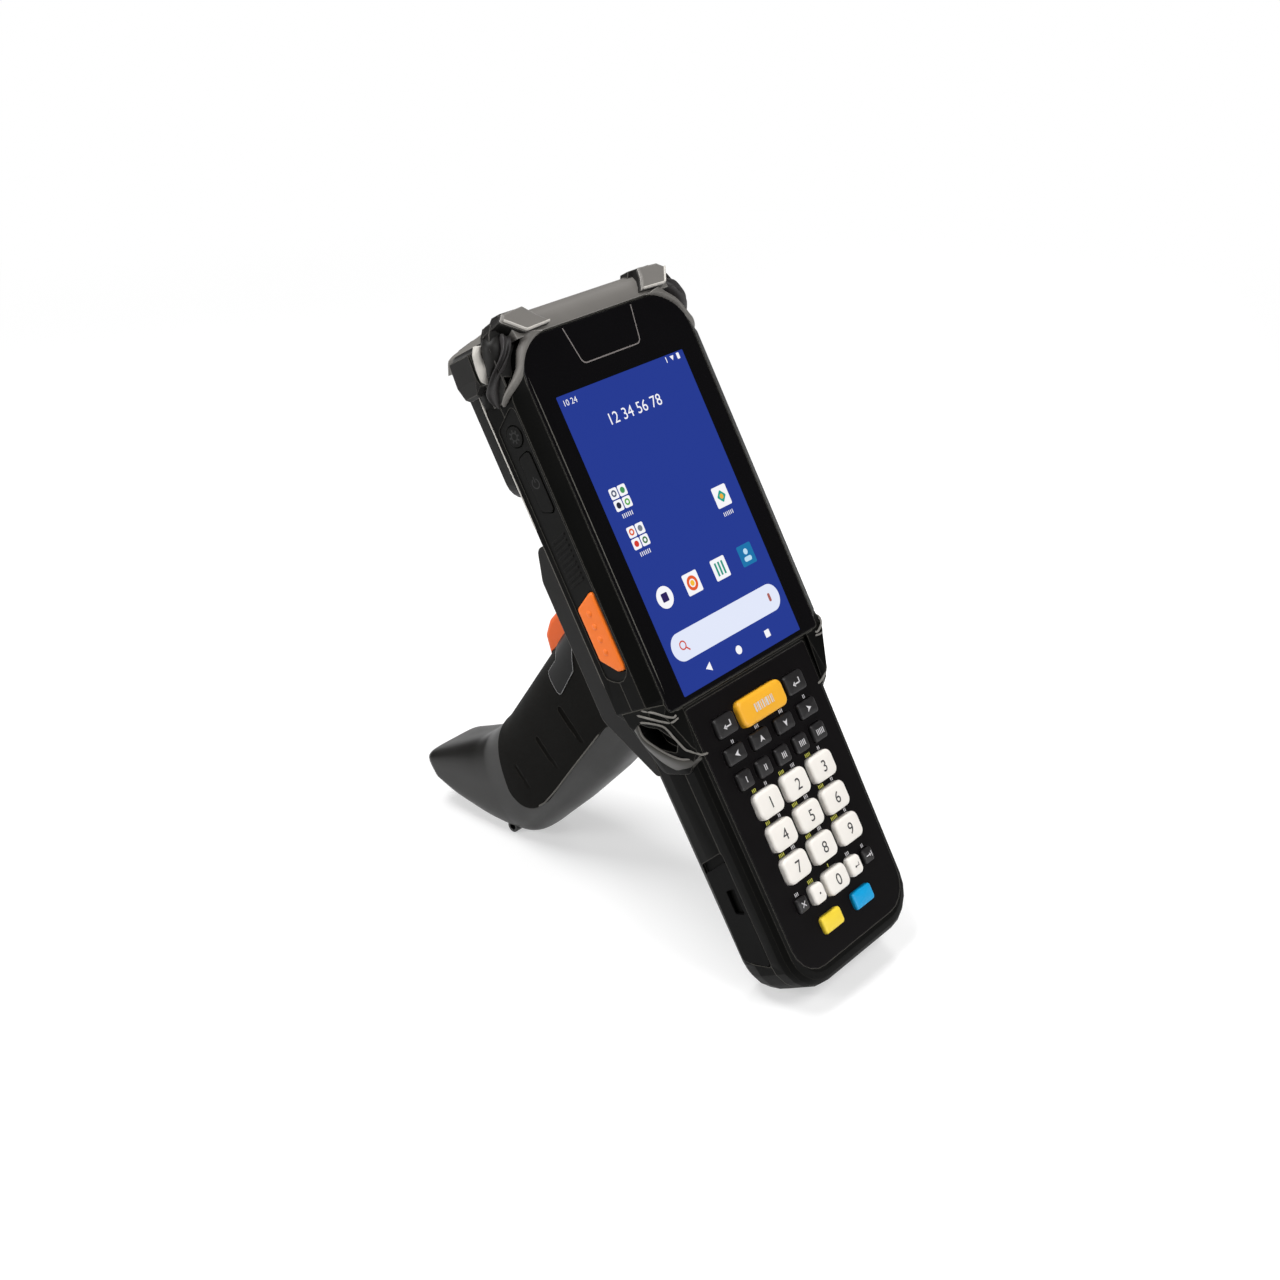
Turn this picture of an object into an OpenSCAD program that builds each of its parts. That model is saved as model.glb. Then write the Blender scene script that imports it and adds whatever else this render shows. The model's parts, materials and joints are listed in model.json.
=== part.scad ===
// Portable barcode data terminal with a pistol grip.
// Every piece is drawn in the device's own frame: x to the right of the screen, y towards the
// scanning head, z out of the screen, the origin at the screen's centre on the glass.
// stand() then leans the device back until it rests on its keypad end and on the grip's eyelet.

/* [Screen and glass] */
// Width of the cover glass
glass_w = 72; // [68:0.5:73]
// From the screen's centre to the head end of the glass
glass_head = 65.5; // [60:0.5:65.5]
// From the screen's centre to the keypad end of the glass
glass_foot = 48.5; // [48.4:0.1:48.7]
// Thickness of the cover glass
glass_t = 1.1; // [0.8:0.1:1.5]
// Radius of the glass's head corners
glass_corner = 12.5; // [8:0.5:13]
// Width of the display panel behind the glass
panel_w = 61; // [58:0.5:62]
// Length of the display panel
panel_h = 94; // [93.6:0.1:94.4]
// Thickness of the display panel
panel_t = 2.4; // [1.8:0.1:2.8]

/* [Display half] */
// Width over the side walls
body_w = 82; // [80:0.5:86]
// From the screen's centre to the head end of the shells
body_head = 66; // [66:0.5:68]
// Width of the bevel between the glass and the side wall
bevel_w = 4.6; // [3:0.2:4.6]
// Height of that bevel
bevel_h = 3; // [2:0.25:3.5]
// Depth from the glass to the rear edge of the side wall
side_depth = 16; // [15:0.5:18]
// Depth from the glass to the flat of the back
back_depth = 24; // [22.5:0.5:26]
// Width of the bevel between the side wall and the back
back_bevel = 8; // [5:0.5:10]
// Depth from the glass to the line where the two shells meet
parting_depth = 9; // [8.5:0.25:10]
// Wall of the shells
wall = 2; // [1.6:0.1:2.4]

/* [Keypad half] */
// Width at the step from the display half
keypad_w = 64.4; // [63:0.2:66]
// Width at the far end
keypad_end_w = 61.4; // [60:0.2:63]
// From the screen's centre to the keypad end of the terminal
keypad_end = 144.5; // [143.5:0.5:149]
// How far the keypad's face lies below the glass
keypad_drop = 1.2; // [0.8:0.1:1.6]
// Depth from the glass to the back of the keypad half
keypad_back = 26.5; // [25.5:0.5:29]
// Radius of its front edge
front_edge_r = 4; // [2:0.5:5]
// Radius of its back edges
back_edge_r = 11; // [8:0.5:12]
// Radius of its two end corners
end_corner_r = 14; // [12:0.5:17]

/* [Keys] */
// How far a key can be pressed
key_travel = 0.8; // [0.5:0.1:1]
// Free space round a key in its hole
key_gap = 0.25; // [0.2:0.05:0.35]
// Height of the light keys above the keypad's face
light_rise = 2.2; // [1.8:0.1:2.8]
// Height of the dark keys above the keypad's face
dark_rise = 1.5; // [1:0.1:1.8]
// Width of a digit key
digit_w = 11.2; // [10:0.1:11.4]
// Length of a digit key
digit_h = 8.4; // [7.4:0.1:8.6]
// Distance between columns of digits
digit_pitch_x = 13.4; // [12.8:0.1:13.6]
// Distance between rows of digits
digit_pitch_y = 10.6; // [10.4:0.1:10.8]
// Thickness of the keypad bezel
bezel_t = 1.6; // [1.2:0.1:2]
// Width of the flange that keeps a key under the bezel
key_flange = 0.5; // [0.4:0.05:0.6]

/* [Head] */
// From the screen's centre to the outer end of the head
head_end = 74.6; // [74:0.2:76]
// Depth of the head behind the glass
head_depth = 35; // [34:0.5:37]
// Width of the head's bulge on the back
head_w = 68; // [66:0.5:70]
// From the screen's centre to the lower edge of the bulge
bulge_foot = 22; // [18:0.5:26]
// Width of the scan window
window_w = 36; // [32:0.5:38]
// Height of the scan window
window_h = 15; // [12:0.5:16]

/* [Side controls] */
// How far the side triggers and buttons can be pressed
side_travel = 0.8; // [0.5:0.1:1]
// Depth of the recess that holds a side panel
panel_recess = 1.8; // [1.6:0.1:2]
// How far a side trigger stands out of its panel
side_trigger_rise = 0.9; // [0.5:0.1:1.2]
// How far the two small buttons stand out of the panel
button_rise = 0.3; // [0.1:0.1:0.6]
// Travel of the battery latches
latch_travel = 2.5; // [2:0.25:3]

/* [Grip] */
// Lean of the grip away from the screen's normal, in degrees
grip_tilt = 25.7; // [23:0.1:28]
// Width of the grip
grip_w = 34; // [31:0.5:36]
// Depth from the glass to the top of the grip
grip_top = 35; // [35:0.5:37]
// Depth from the glass to the tip of the toe
toe_depth = 153.5; // [151:0.5:156]
// Depth from the glass to the heel
heel_depth = 119; // [117:0.5:121]
// How far the palm side of the shells is proud of the back strap
grip_step = 0.35; // [0.2:0.05:0.5]

/* [Trigger] */
// Swing of the trigger, in degrees
trigger_swing = 7; // [5:0.5:8]
// Width of the trigger
trigger_w = 15; // [13:0.5:16]
// Radius of the trigger's pin
pin_r = 1.5; // [1.2:0.1:1.8]
// Radial clearance of the trigger on its pin
pin_fit = 0.06; // [0.03:0.01:0.09]

/* [Fits] */
// Clearance between pieces that move past each other
clearance = 0.3; // [0.25:0.05:0.35]
// Radius of the hole in the eyelet
eyelet_hole_r = 1.2; // [1:0.1:1.4]

/* [Hidden] */
slice = 0.01;
curve_steps = 5;
digit_rows = 3;

// Every key as [name, x, y, width, length, colour, rise], row by row from the glass down.
scan_row_y = -60.3;
arrow_row_y = -69.3;
function_row_y = -77.4;
first_digit_y = -87.1;
last_row_y = first_digit_y - digit_rows * digit_pitch_y - 0.2;
colour_row_y = -128.8;
ivory = [0.93, 0.91, 0.87];
charcoal = [0.10, 0.10, 0.11];
function row_of(names, y, pitch, w, h, tint, rise) = [
  for (i = [0 : len(names) - 1]) [names[i], (i - (len(names) - 1) / 2) * pitch, y, w, h, tint, rise]
];
KEYS = concat(
  row_of(["key_enter_left", "key_enter_right"], scan_row_y, 34, 9.2, 6.4, charcoal, dark_rise),
  row_of(["key_scan"], scan_row_y, 0, 21.4, 8.6, [1.0, 0.62, 0.08], light_rise),
  row_of(["key_left", "key_up", "key_down", "key_right"], arrow_row_y, 11.9, 8.6, 5.2, charcoal, dark_rise),
  row_of([for (i = [1 : 5]) str("key_f", i)], function_row_y, 9.2, 6.4, 5.6, charcoal, dark_rise),
  [for (row = [0 : digit_rows - 1]) each row_of(
    [for (i = [1 : 3]) str("key_", 3 * row + i)],
    first_digit_y - row * digit_pitch_y, digit_pitch_x, digit_w, digit_h, ivory, light_rise
  )],
  row_of(["key_escape", "key_tab"], last_row_y, 34, 4.8, 4.6, charcoal, dark_rise),
  row_of(["key_point", "key_back"], last_row_y, 19.2, 5.8, 6.2, ivory, light_rise),
  row_of(["key_0"], last_row_y, 0, 10.4, 7.6, ivory, light_rise),
  row_of(["key_yellow"], colour_row_y, 0, 9.4, 5.4, [0.98, 0.86, 0.16], dark_rise),
  row_of(["key_blue"], colour_row_y, 0, 9.4, 5.4, [0.05, 0.62, 0.85], dark_rise)
);
colour_key_x = 8;
function key_x(key) = key[0] == "key_yellow" ? -colour_key_x : key[0] == "key_blue" ? colour_key_x : key[1];

// ---- Outlines -------------------------------------------------------------------------------

function unit(v) = v / norm(v);
function wrapped(angle) = (angle + 540) % 360 - 180;

// A closed outline from corners given as [x, y, radius]; each corner is rounded with its radius.
function outline(corners) = let (n = len(corners)) [
  for (i = [0 : n - 1])
    let (
      here = [corners[i].x, corners[i].y],
      before = corners[(i + n - 1) % n],
      after = corners[(i + 1) % n],
      to_before = unit([before.x, before.y] - here),
      to_after = unit([after.x, after.y] - here),
      half = acos(to_before * to_after) / 2,
      r = corners[i].z,
      centre = here + unit(to_before + to_after) * r / sin(half),
      first = here + to_before * r / tan(half) - centre,
      last = here + to_after * r / tan(half) - centre,
      start = atan2(first.y, first.x),
      sweep = wrapped(atan2(last.y, last.x) - start)
    )
    each r <= 0 ? [here] : [
      for (k = [0 : curve_steps])
        centre + r * [cos(start + sweep * k / curve_steps), sin(start + sweep * k / curve_steps)]
    ]
];

// A right-hand half outline, carried over to the left.
function both_sides(half) = concat(
  half, [for (i = [len(half) - 1 : -1 : 0]) [-half[i].x, half[i].y, half[i].z]]
);

// A rectangle centred on the origin with round corners.
function round_box(w, h, r) = outline(both_sides([[w / 2, h / 2, r], [w / 2, -h / 2, r]]));

// ---- Solids ---------------------------------------------------------------------------------

// A flat plate between two levels.
module plate(points, low, high) {
  translate([0, 0, low])
    linear_extrude(high - low)
      polygon(points);
}

// A profile given in y and z, carried along x from one value to another.
module across(points, from, to) {
  translate([from, 0, 0])
    rotate([90, 0, 90])
      linear_extrude(to - from)
        polygon(points);
}

// A closed solid through a row of rings that have equally many points.
module loft(rings) {
  n = len(rings[0]);
  last = len(rings) - 1;
  sides = [
    for (i = [0 : last - 1]) for (j = [0 : n - 1])
      let (k = (j + 1) % n) each [
        [i * n + j, i * n + k, (i + 1) * n + k],
        [i * n + j, (i + 1) * n + k, (i + 1) * n + j]
      ]
  ];
  caps = [[for (j = [n - 1 : -1 : 0]) j], [for (j = [0 : n - 1]) last * n + j]];
  polyhedron(points = [for (ring = rings) each ring], faces = concat(sides, caps), convexity = 8);
}

module mirror_x() {
  mirror([1, 0, 0])
    children();
}

// Everything between two levels, as a tool for cutting.
module levels(low, high) {
  translate([-100, -200, low])
    cube([200, 400, high - low]);
}

// ---- The two shells -------------------------------------------------------------------------

side_foot = -44;
display_foot = -50.5;
corner_x = body_w / 2 - 11.5;
corner_y = 56.8;

// The display half seen from the front, its side walls moved in by some inset.
function display_outline(inset) = outline(both_sides([
  [corner_x - inset / 6, body_head, 2],
  [body_w / 2 - 3.4 - inset * 0.6, corner_y + inset * 0.3, 3],
  [body_w / 2 - inset, 50.5 + inset * 0.3, 2],
  [body_w / 2 - inset, side_foot, 0.5],
  [body_w / 2 - 5 - inset * 0.7, display_foot + inset * 0.35, 0.5]
]));

module display_solid() {
  hull() {
    plate(display_outline(bevel_w), -slice, 0);
    plate(display_outline(0), -side_depth, -bevel_h);
    plate(display_outline(back_bevel), -back_depth, -back_depth + slice);
  }
}

function keypad_outline(inset) = outline(both_sides([
  [keypad_w / 2 - inset, side_foot + 1, 0],
  [keypad_end_w / 2 - inset, -keypad_end + inset, max(end_corner_r - inset, 1)]
]));

module keypad_solid() {
  hull() {
    for (turn = [0 : 30 : 90])
      plate(
        keypad_outline(front_edge_r * (1 - sin(turn))),
        -keypad_drop - front_edge_r * (1 - cos(turn)) - slice,
        -keypad_drop - front_edge_r * (1 - cos(turn))
      );
    for (turn = [0 : 22.5 : 90])
      plate(
        keypad_outline(back_edge_r * (1 - cos(turn))),
        -keypad_back + back_edge_r * (1 - sin(turn)),
        -keypad_back + back_edge_r * (1 - sin(turn)) + slice
      );
  }
}

module head_bulge() {
  bulge_r = 6;
  hull() {
    plate(round_rect_between(head_w, bulge_foot, body_head, bulge_r), -back_depth + 2, -back_depth + 2 + slice);
    plate(round_rect_between(head_w - 3, bulge_foot + 2, body_head, bulge_r), -head_depth + 5, -head_depth + 5 + slice);
    plate(round_rect_between(head_w - 14, bulge_foot + 8, body_head, bulge_r), -head_depth, -head_depth + slice);
  }
}

// A rectangle of some width from one y to another; only its lower corners are round.
function round_rect_between(w, foot, head, r) = outline(both_sides([[w / 2, head, 0], [w / 2, foot, r]]));

// Glass seat, display window and key window of the front frame.
ledge = 4;
foot_ledge = 1.1;
bezel_head = -50.6;
end_margin = 5.8;
bezel_foot = -keypad_end + end_margin;
bezel_head_w = 57.6;
bezel_foot_w = 54.6;
function bezel_outline(grow) = outline(both_sides([
  [bezel_head_w / 2 + grow, bezel_head + grow, 1],
  [bezel_foot_w / 2 + grow, bezel_foot - grow, 10 + grow]
]));
function glass_outline(grow) = outline(both_sides([
  [glass_w / 2 + grow, glass_head + grow, glass_corner],
  [glass_w / 2 + grow, -glass_foot - grow, 1.5]
]));
seat_play = 0.1;

module front_frame() {
  color([0.12, 0.12, 0.13])
    difference() {
      union() {
        intersection() {
          display_solid();
          levels(-parting_depth, 1);
        }
        intersection() {
          keypad_solid();
          levels(-parting_depth, 1);
        }
      }
      plate(glass_outline(seat_play), -glass_t, 1);
      plate(outline(both_sides([[glass_w / 2 - ledge, 58, 3], [glass_w / 2 - ledge, -glass_foot + foot_ledge, 1]])),
        -parting_depth - 1, 1);
      plate(bezel_outline(seat_play), -keypad_drop - bezel_t, 1);
      plate(bezel_outline(-1.4), -parting_depth - 1, 0);
      side_recess();
      latch_pocket();
      mirror_x() {
        side_recess();
        latch_pocket();
      }
    }
}

cavity_side = body_w / 2 - wall - panel_recess - 2.4;

module rear_shell() {
  color([0.11, 0.11, 0.12])
    difference() {
      union() {
        intersection() {
          display_solid();
          levels(-back_depth, -parting_depth);
        }
        intersection() {
          keypad_solid();
          levels(-keypad_back, -parting_depth);
        }
        head_bulge();
      }
      // Room for the display's electronics and, in the bulge, for the scan engine
      plate(outline(both_sides([[26, body_head - wall, 1], [cavity_side, 52, 2], [cavity_side, -46, 2]])),
        -back_depth + wall, -parting_depth + 1);
      plate(round_rect_between(head_w - 22, bulge_foot + 12, body_head + 1, 4),
        -head_depth + wall, -back_depth + wall + slice);
      plate(outline(both_sides([[window_w / 2, body_head + 1, 0], [window_w / 2, body_head - wall - 1, 0]])),
        -head_depth + wall, -parting_depth - 3);
      battery_bay();
      latch_pocket();
      mirror_x()
        latch_pocket();
      side_recess();
      mirror_x()
        side_recess();
    }
}

// ---- Display and electronics ----------------------------------------------------------------

module display_glass() {
  color([0.02, 0.02, 0.03])
    plate(glass_outline(0), -glass_t, 0);
}

module display_panel() {
  color([0.12, 0.17, 0.50])
    plate(round_box(panel_w, panel_h, 1), -glass_t - panel_t, -glass_t);
}

board_level = -parting_depth - 1.2;
board_t = 1.2;
board_half = cavity_side - 1.3;
module main_board() {
  can_h = 2.2;
  color([0.08, 0.32, 0.18])
    union() {
      plate(outline(both_sides([[board_half - 9.5, body_head - 4, 1], [board_half, 50, 2], [board_half, side_foot, 2]])),
        board_level, board_level + board_t);
      for (can = [[-16, 28, 22, 26], [14, 24, 26, 20], [0, -18, 44, 24]])
        translate([can[0], can[1], 0])
          plate(round_box(can[2], can[3], 1), board_level - can_h, board_level);
      // Pads that carry the display panel above the board
      for (pad_y = [-36, 38])
        translate([0, pad_y, 0])
          plate(round_box(50, 4, 1), board_level + board_t, -glass_t - panel_t);
      // Posts down to the floor of the rear shell
      for (side = [-1, 1], post_y = [-34, 46])
        translate([side * 27, post_y, -back_depth + wall])
          cylinder(r = 2.2, h = board_level + back_depth - wall, $fn = 24);
    }
}

// ---- Keypad ---------------------------------------------------------------------------------

mat_top = -parting_depth + 1.8;
key_skirt = 0.7;
bezel_back = -keypad_drop - bezel_t;

module key_prism(key, grow, low, high) {
  corner = min(key[3], key[4]) * 0.24;
  translate([key_x(key), key[2], 0])
    plate(round_box(key[3] + 2 * grow, key[4] + 2 * grow, corner + grow), low, high);
}

module keypad_bezel() {
  color([0.19, 0.18, 0.20])
    difference() {
      plate(bezel_outline(0), bezel_back, -keypad_drop);
      for (key = KEYS)
        key_prism(key, key_gap, bezel_back - 1, 1);
    }
}

// A key: a crowned cap, a shank through the bezel and a flange that keeps it in.
module key_cap(key) {
  crown_t = 1.1;
  top = -keypad_drop + key[6];
  low = bezel_back - clearance - key_skirt;
  corner = min(key[3], key[4]) * 0.24;
  color(key[5])
    union() {
      key_prism(key, 0, bezel_back - clearance, top - crown_t);
      key_prism(key, key_flange, low, bezel_back - clearance);
      translate([key_x(key), key[2], top - crown_t])
        linear_extrude(crown_t, scale = [1 - 1.5 / key[3], 1 - 1.5 / key[4]])
          polygon(round_box(key[3], key[4], corner));
    }
}

// Silicone mat: one dome under each key, short of it by a little more than the travel.
module keypad_mat() {
  dome_top = bezel_back - clearance - key_skirt - key_travel - 0.1;
  color([0.30, 0.31, 0.33])
    union() {
      plate(bezel_outline(-1.4 - seat_play), -parting_depth, mat_top);
      for (key = KEYS)
        translate([key_x(key), key[2], mat_top - slice])
          cylinder(r1 = 2, r2 = 1.5, h = max(dome_top - mat_top, 0.1) + slice, $fn = 24);
    }
}

// ---- Head -----------------------------------------------------------------------------------

cover_w = body_w - 16;
cover_proud = 0.3;
end_slope = 4;
window_depth = 20;

// Side view of the cover: round at the front, and its end face slopes in towards the back.
function cover_section(root) = outline([
  [root, cover_proud, 0], [head_end, cover_proud, head_end - root - 1.2], [head_end - end_slope, -head_depth + 4, 4.5], [root, -head_depth + 1, 0]
]);
module head_cover() {
  color([0.30, 0.30, 0.31])
    difference() {
      across(cover_section(body_head), -cover_w / 2, cover_w / 2);
      // Scanning port through the end, with a stepped seat for the window
      translate([0, 0, -window_depth]) {
        translate([-window_w / 2 + 1.5, body_head - 1, -window_h / 2 + 1.5])
          cube([window_w - 3, head_end, window_h - 3]);
        translate([-window_w / 2, head_end - 2.6, -window_h / 2])
          cube([window_w, 5, window_h]);
      }
    }
}

module scan_window() {
  pane_t = 1.6;
  color([0.35, 0.05, 0.06, 0.8])
    translate([-window_w / 2 + seat_play, head_end - 2.6, -window_depth - window_h / 2 + seat_play])
      cube([window_w - 2 * seat_play, pane_t, window_h - 2 * seat_play]);
}

module scan_engine() {
  engine_foot = bulge_foot + 20;
  color([0.16, 0.17, 0.19])
    union() {
      translate([-13, engine_foot, -window_depth - 8])
        cube([26, 20, 13]);
      // Carrier that stands on the floor of the bulge
      translate([-15, engine_foot, -head_depth + wall])
        cube([30, 18, head_depth - wall - window_depth - 8]);
      for (lens = [[-6, 3.6], [6, 2.6]])
        translate([lens[0], engine_foot + 20, -window_depth])
          rotate([-90, 0, 0])
            cylinder(r = lens[1], h = 5, $fn = 32);
    }
}

// Corner bumper on the right: a raised pad on the head's corner, from which an arm runs round the
// glass's corner and a fin runs down the side with a groove between the two, and a block at the back.
// Its outlines are given from the head's corner, as [in from the side wall, down from the head's end].
pad_rise = 2.6;
arm_rise = 1.4;
fin_rise = 0.5;
wrap_back = 21.5;
pad_root = head_end - body_head;
function from_corner(points) = [for (p = points) [body_w / 2 - p[0], head_end - p[1]]];

module bumper() {
  color([0.17, 0.17, 0.18])
    difference() {
      union() {
        // Wrap over the corner, the floor of the groove
        plate(from_corner([[14, pad_root - 1], [7, 3.6], [2, 6], [-0.2, 10.6], [-0.2, 16.6], [4, 17.8], [11.5, pad_root]]),
          -wrap_back + 1.5, -3.4);
        // Hexagonal pad on the front corner of the head, whose face rises from the end to the glass
        hull() {
          plate(from_corner([[21, pad_root], [21.6, 5.6], [18, 0], [8.6, 0], [5, 3], [6.6, pad_root]]), -7, -0.6);
          plate(from_corner([[19.2, pad_root - 0.6], [19.6, 6], [11.2, 5.6], [10, pad_root - 0.8]]), -7, pad_rise);
        }
        // Arm round the glass's corner, and its run down to a point on the side wall
        plate(from_corner([[17, 7.1], [17, 10.6], [10, 14.6], [6, 18.8], [3.3, 17.5], [6.1, 12.1], [10, 7.1]]), -2.6, arm_rise);
        hull() {
          plate(from_corner([[5.4, 16.6], [3.3, 17.4], [3.8, 20], [4.8, 19.6]]), -2.6, arm_rise);
          plate(from_corner([[0.6, 25], [-0.6, 24.6], [-0.6, 22], [0.6, 21.4]]), -8.2, -6);
        }
        // Fin outside it, and its run down to the same point
        plate(from_corner([[7.6, 7.8], [5, 9.3], [0.6, 13.3], [0, 16.4], [-1.8, 15.4], [-1.6, 12], [2.1, 4.4], [4.2, 2], [7.6, 3.2]]),
          -8, fin_rise);
        hull() {
          plate(from_corner([[0.8, 16.6], [0, 12.2], [-1.8, 12.6], [-1.8, 15.8]]), -8, fin_rise);
          plate(from_corner([[0.6, 24], [-0.6, 23.6], [-1.2, 19.6], [0.6, 18.6]]), -11.6, -8.6);
        }
        // Block on the side, slanted at its front, that tapers towards the screen
        hull() {
          plate(from_corner([[8, 3], [4.4, 3], [-0.6, 7], [-1.2, 14.2], [3, 16]]), -wrap_back, -12.6);
          plate(from_corner([[8, 4.2], [5, 4.2], [1, 8], [0.4, 13.2], [3, 14.6]]), -wrap_back, -8.6);
          plate(from_corner([[0.6, 19.2], [-1, 18.2], [-1, 15.6], [0.6, 14.6]]), -wrap_back + 1.1, -15);
        }
        // Pad on the rear corner, which slants in to the back
        hull() {
          plate(from_corner([[17, pad_root], [17, 2.6], [8, 2.6], [0.6, 7.2], [-0.2, 13.6], [4, 17.6]]), -wrap_back, -17);
          plate(from_corner([[16, pad_root], [16, 4], [11.6, 4], [9, 7.2], [8.4, 13], [11, 14.6]]), -head_depth + 2.5, -17);
        }
      }
      plate(glass_outline(seat_play), -glass_t - 1, pad_rise + 1);
      display_solid();
      head_bulge();
      across(cover_section(body_head), -cover_w / 2, cover_w / 2);
    }
}

module bumper_right() {
  bumper();
}

module bumper_left() {
  mirror_x()
    bumper();
}

// ---- Strap pods -----------------------------------------------------------------------------

// Pod on the right: a boss that bridges the step from the wide half to the narrow one and slants in
// with it, with a long slanted pocket for a hand strap. Heights are given down from the side wall's foot.
function below_wall(corners) = [for (c = corners) [side_foot - c[0], c[1], c[2]]];

module strap_pod() {
  step = (body_w - keypad_w) / 2;
  face_x = body_w / 2;
  pocket_floor = face_x - step + 0.8;
  pocket = outline(below_wall([[4.3, -8.6, 0.6], [7.3, -3.4, 1.2], [13.6, -1.9, 1], [16.6, -4.4, 0.8], [13.2, -9, 1.5], [7.8, -10.6, 1]]));
  color([0.15, 0.15, 0.15])
    difference() {
      hull() {
        across(outline(below_wall([[0, -bevel_h, 0.5], [4.6, -3.2, 1], [6.8, -8, 2], [5, -13, 2], [0, -side_depth + 2, 0.5]])),
          face_x - 1.2, face_x - 0.2);
        // Raised front edge
        plate([for (p = [[2.7, 4.6], [5.6, 9], [7.6, 16], [9, 18], [9, 4.6]]) [face_x - p[0], side_foot - p[1]]], -4, 0);
        across(outline(below_wall([[-2, -0.8, 0.5], [6.4, -0.2, 0.5], [20, -1.4, 2], [24.6, -6, 3], [22.6, -17, 4], [0, -20, 1]])),
          face_x - step - 2, face_x - step + 0.4);
      }
      display_solid();
      keypad_solid();
      across(pocket, pocket_floor, face_x + 1);
      grip_mount_form();
      plate(glass_outline(seat_play), -glass_t - 1, 1);
    }
}

module strap_pod_right() {
  strap_pod();
}

module strap_pod_left() {
  mirror_x()
    strap_pod();
}

// ---- Side controls --------------------------------------------------------------------------

// Outlines on the side wall, in y and z.
panel_corners = [[50, -3.7, 1.5], [-38.4, -3.7, 5], [-33, -13.8, 2], [44.5, -13.8, 2]];
side_trigger_corners = [[-7, -4.2, 1.2], [-32, -4.2, 1.2], [-32, -7.2, 1.2], [-27.4, -12.8, 1.2], [-11, -12.8, 1.2]];
power_corners = [[36.4, -5.2, 1.6], [17, -5.2, 1.6], [18.6, -10.6, 1.6], [35, -10.6, 1.6]];
function_centre = [41.2, -8.4];
function_r = 3.1;
panel_face = body_w / 2 - 0.3;
panel_seat = body_w / 2 - panel_recess;
flange_top = panel_seat - clearance;
flange_t = 0.8;
well_floor = flange_top - flange_t - side_travel - clearance;

// The middle of a control's outline, and the outline scaled about it by a border.
function middle(corners) = [for (axis = [0, 1]) (max([for (c = corners) c[axis]]) + min([for (c = corners) c[axis]])) / 2];
function reach(corners, axis) = max([for (c = corners) c[axis]]) - min([for (c = corners) c[axis]]);
function bordered(corners, border) = let (
  m = middle(corners),
  ky = 1 + 2 * border / reach(corners, 0),
  kz = 1 + 2 * border / reach(corners, 1)
) [for (c = corners) [m.x + (c.x - m.x) * ky, m.y + (c.y - m.y) * kz, c.z]];

module function_disc(grow, from, to) {
  translate([from, function_centre.x, function_centre.y])
    rotate([0, 90, 0])
      cylinder(r = function_r + grow, h = to - from, $fn = 48);
}

// Recess in the side walls for a panel, with wells for what moves behind it. The right side has
// no buttons, but its shells come from the same mould.
module side_recess() {
  across(outline(panel_corners), panel_seat, body_w);
  across(outline(bordered(side_trigger_corners, 1.2)), well_floor, panel_seat + 1);
  across(outline(bordered(power_corners, 1.2)), well_floor, panel_seat + 1);
  function_disc(1.2, well_floor, panel_seat + 1);
}

module side_panel(with_buttons) {
  rib_count = 9;
  color([0.14, 0.14, 0.15])
    difference() {
      union() {
        across(outline(panel_corners), panel_seat, panel_face);
        // Ribs for the thumb
        for (i = [0 : rib_count - 1])
          across(outline([[11 - 1.7 * i, -5.6, 0.2], [10.2 - 1.7 * i, -5.6, 0.2], [8.6 - 1.7 * i, -12, 0.2], [9.4 - 1.7 * i, -12, 0.2]]),
            panel_face - slice, panel_face + 0.25);
      }
      across(outline(bordered(side_trigger_corners, clearance)), panel_seat - 1, panel_face + 2);
      if (with_buttons) {
        across(outline(bordered(power_corners, clearance)), panel_seat - 1, panel_face + 2);
        function_disc(clearance, panel_seat - 1, panel_face + 2);
      }
    }
}

module side_panel_right() {
  side_panel(false);
}

module side_panel_left() {
  mirror_x()
    side_panel(true);
}

module side_trigger() {
  color([0.98, 0.42, 0.10])
    union() {
      hull() {
        across(outline(side_trigger_corners), flange_top - slice, panel_face + side_trigger_rise - 0.5);
        across(outline(bordered(side_trigger_corners, -0.6)), panel_face, panel_face + side_trigger_rise);
      }
      across(outline(bordered(side_trigger_corners, 0.8)), flange_top - flange_t, flange_top);
      // Raised dots for the thumb
      for (i = [0 : 3])
        translate([panel_face + side_trigger_rise - slice, -13.4 - 4 * i, -8.6])
          rotate([0, 90, 0])
            cylinder(r1 = 1, r2 = 0.7, h = 0.3, $fn = 24);
    }
}

module side_trigger_right() {
  side_trigger();
}

module side_trigger_left() {
  mirror_x()
    side_trigger();
}

module power_button() {
  color([0.16, 0.16, 0.17])
    mirror_x() {
      across(outline(power_corners), flange_top - slice, panel_face + button_rise);
      across(outline(bordered(power_corners, 0.8)), flange_top - flange_t, flange_top);
    }
}

module function_button() {
  color([0.16, 0.16, 0.17])
    mirror_x() {
      function_disc(0, flange_top - slice, panel_face + button_rise);
      function_disc(0.8, flange_top - flange_t, flange_top);
    }
}

// ---- Battery and its latches ----------------------------------------------------------------

battery_top = -72;
battery_end_wall = 9;
battery_foot = -keypad_end + battery_end_wall;
battery_w = 50;
battery_level = -18;
module battery_block(grow) {
  translate([-battery_w / 2 - grow, battery_foot - grow, -keypad_back - 1])
    cube([battery_w + 2 * grow, battery_top - battery_foot + 2 * grow, keypad_back + 1 + battery_level + grow]);
}

module battery_bay() {
  battery_block(seat_play);
}

module battery_pack() {
  color([0.13, 0.13, 0.14])
    intersection() {
      battery_block(0);
      keypad_solid();
    }
}

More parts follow.
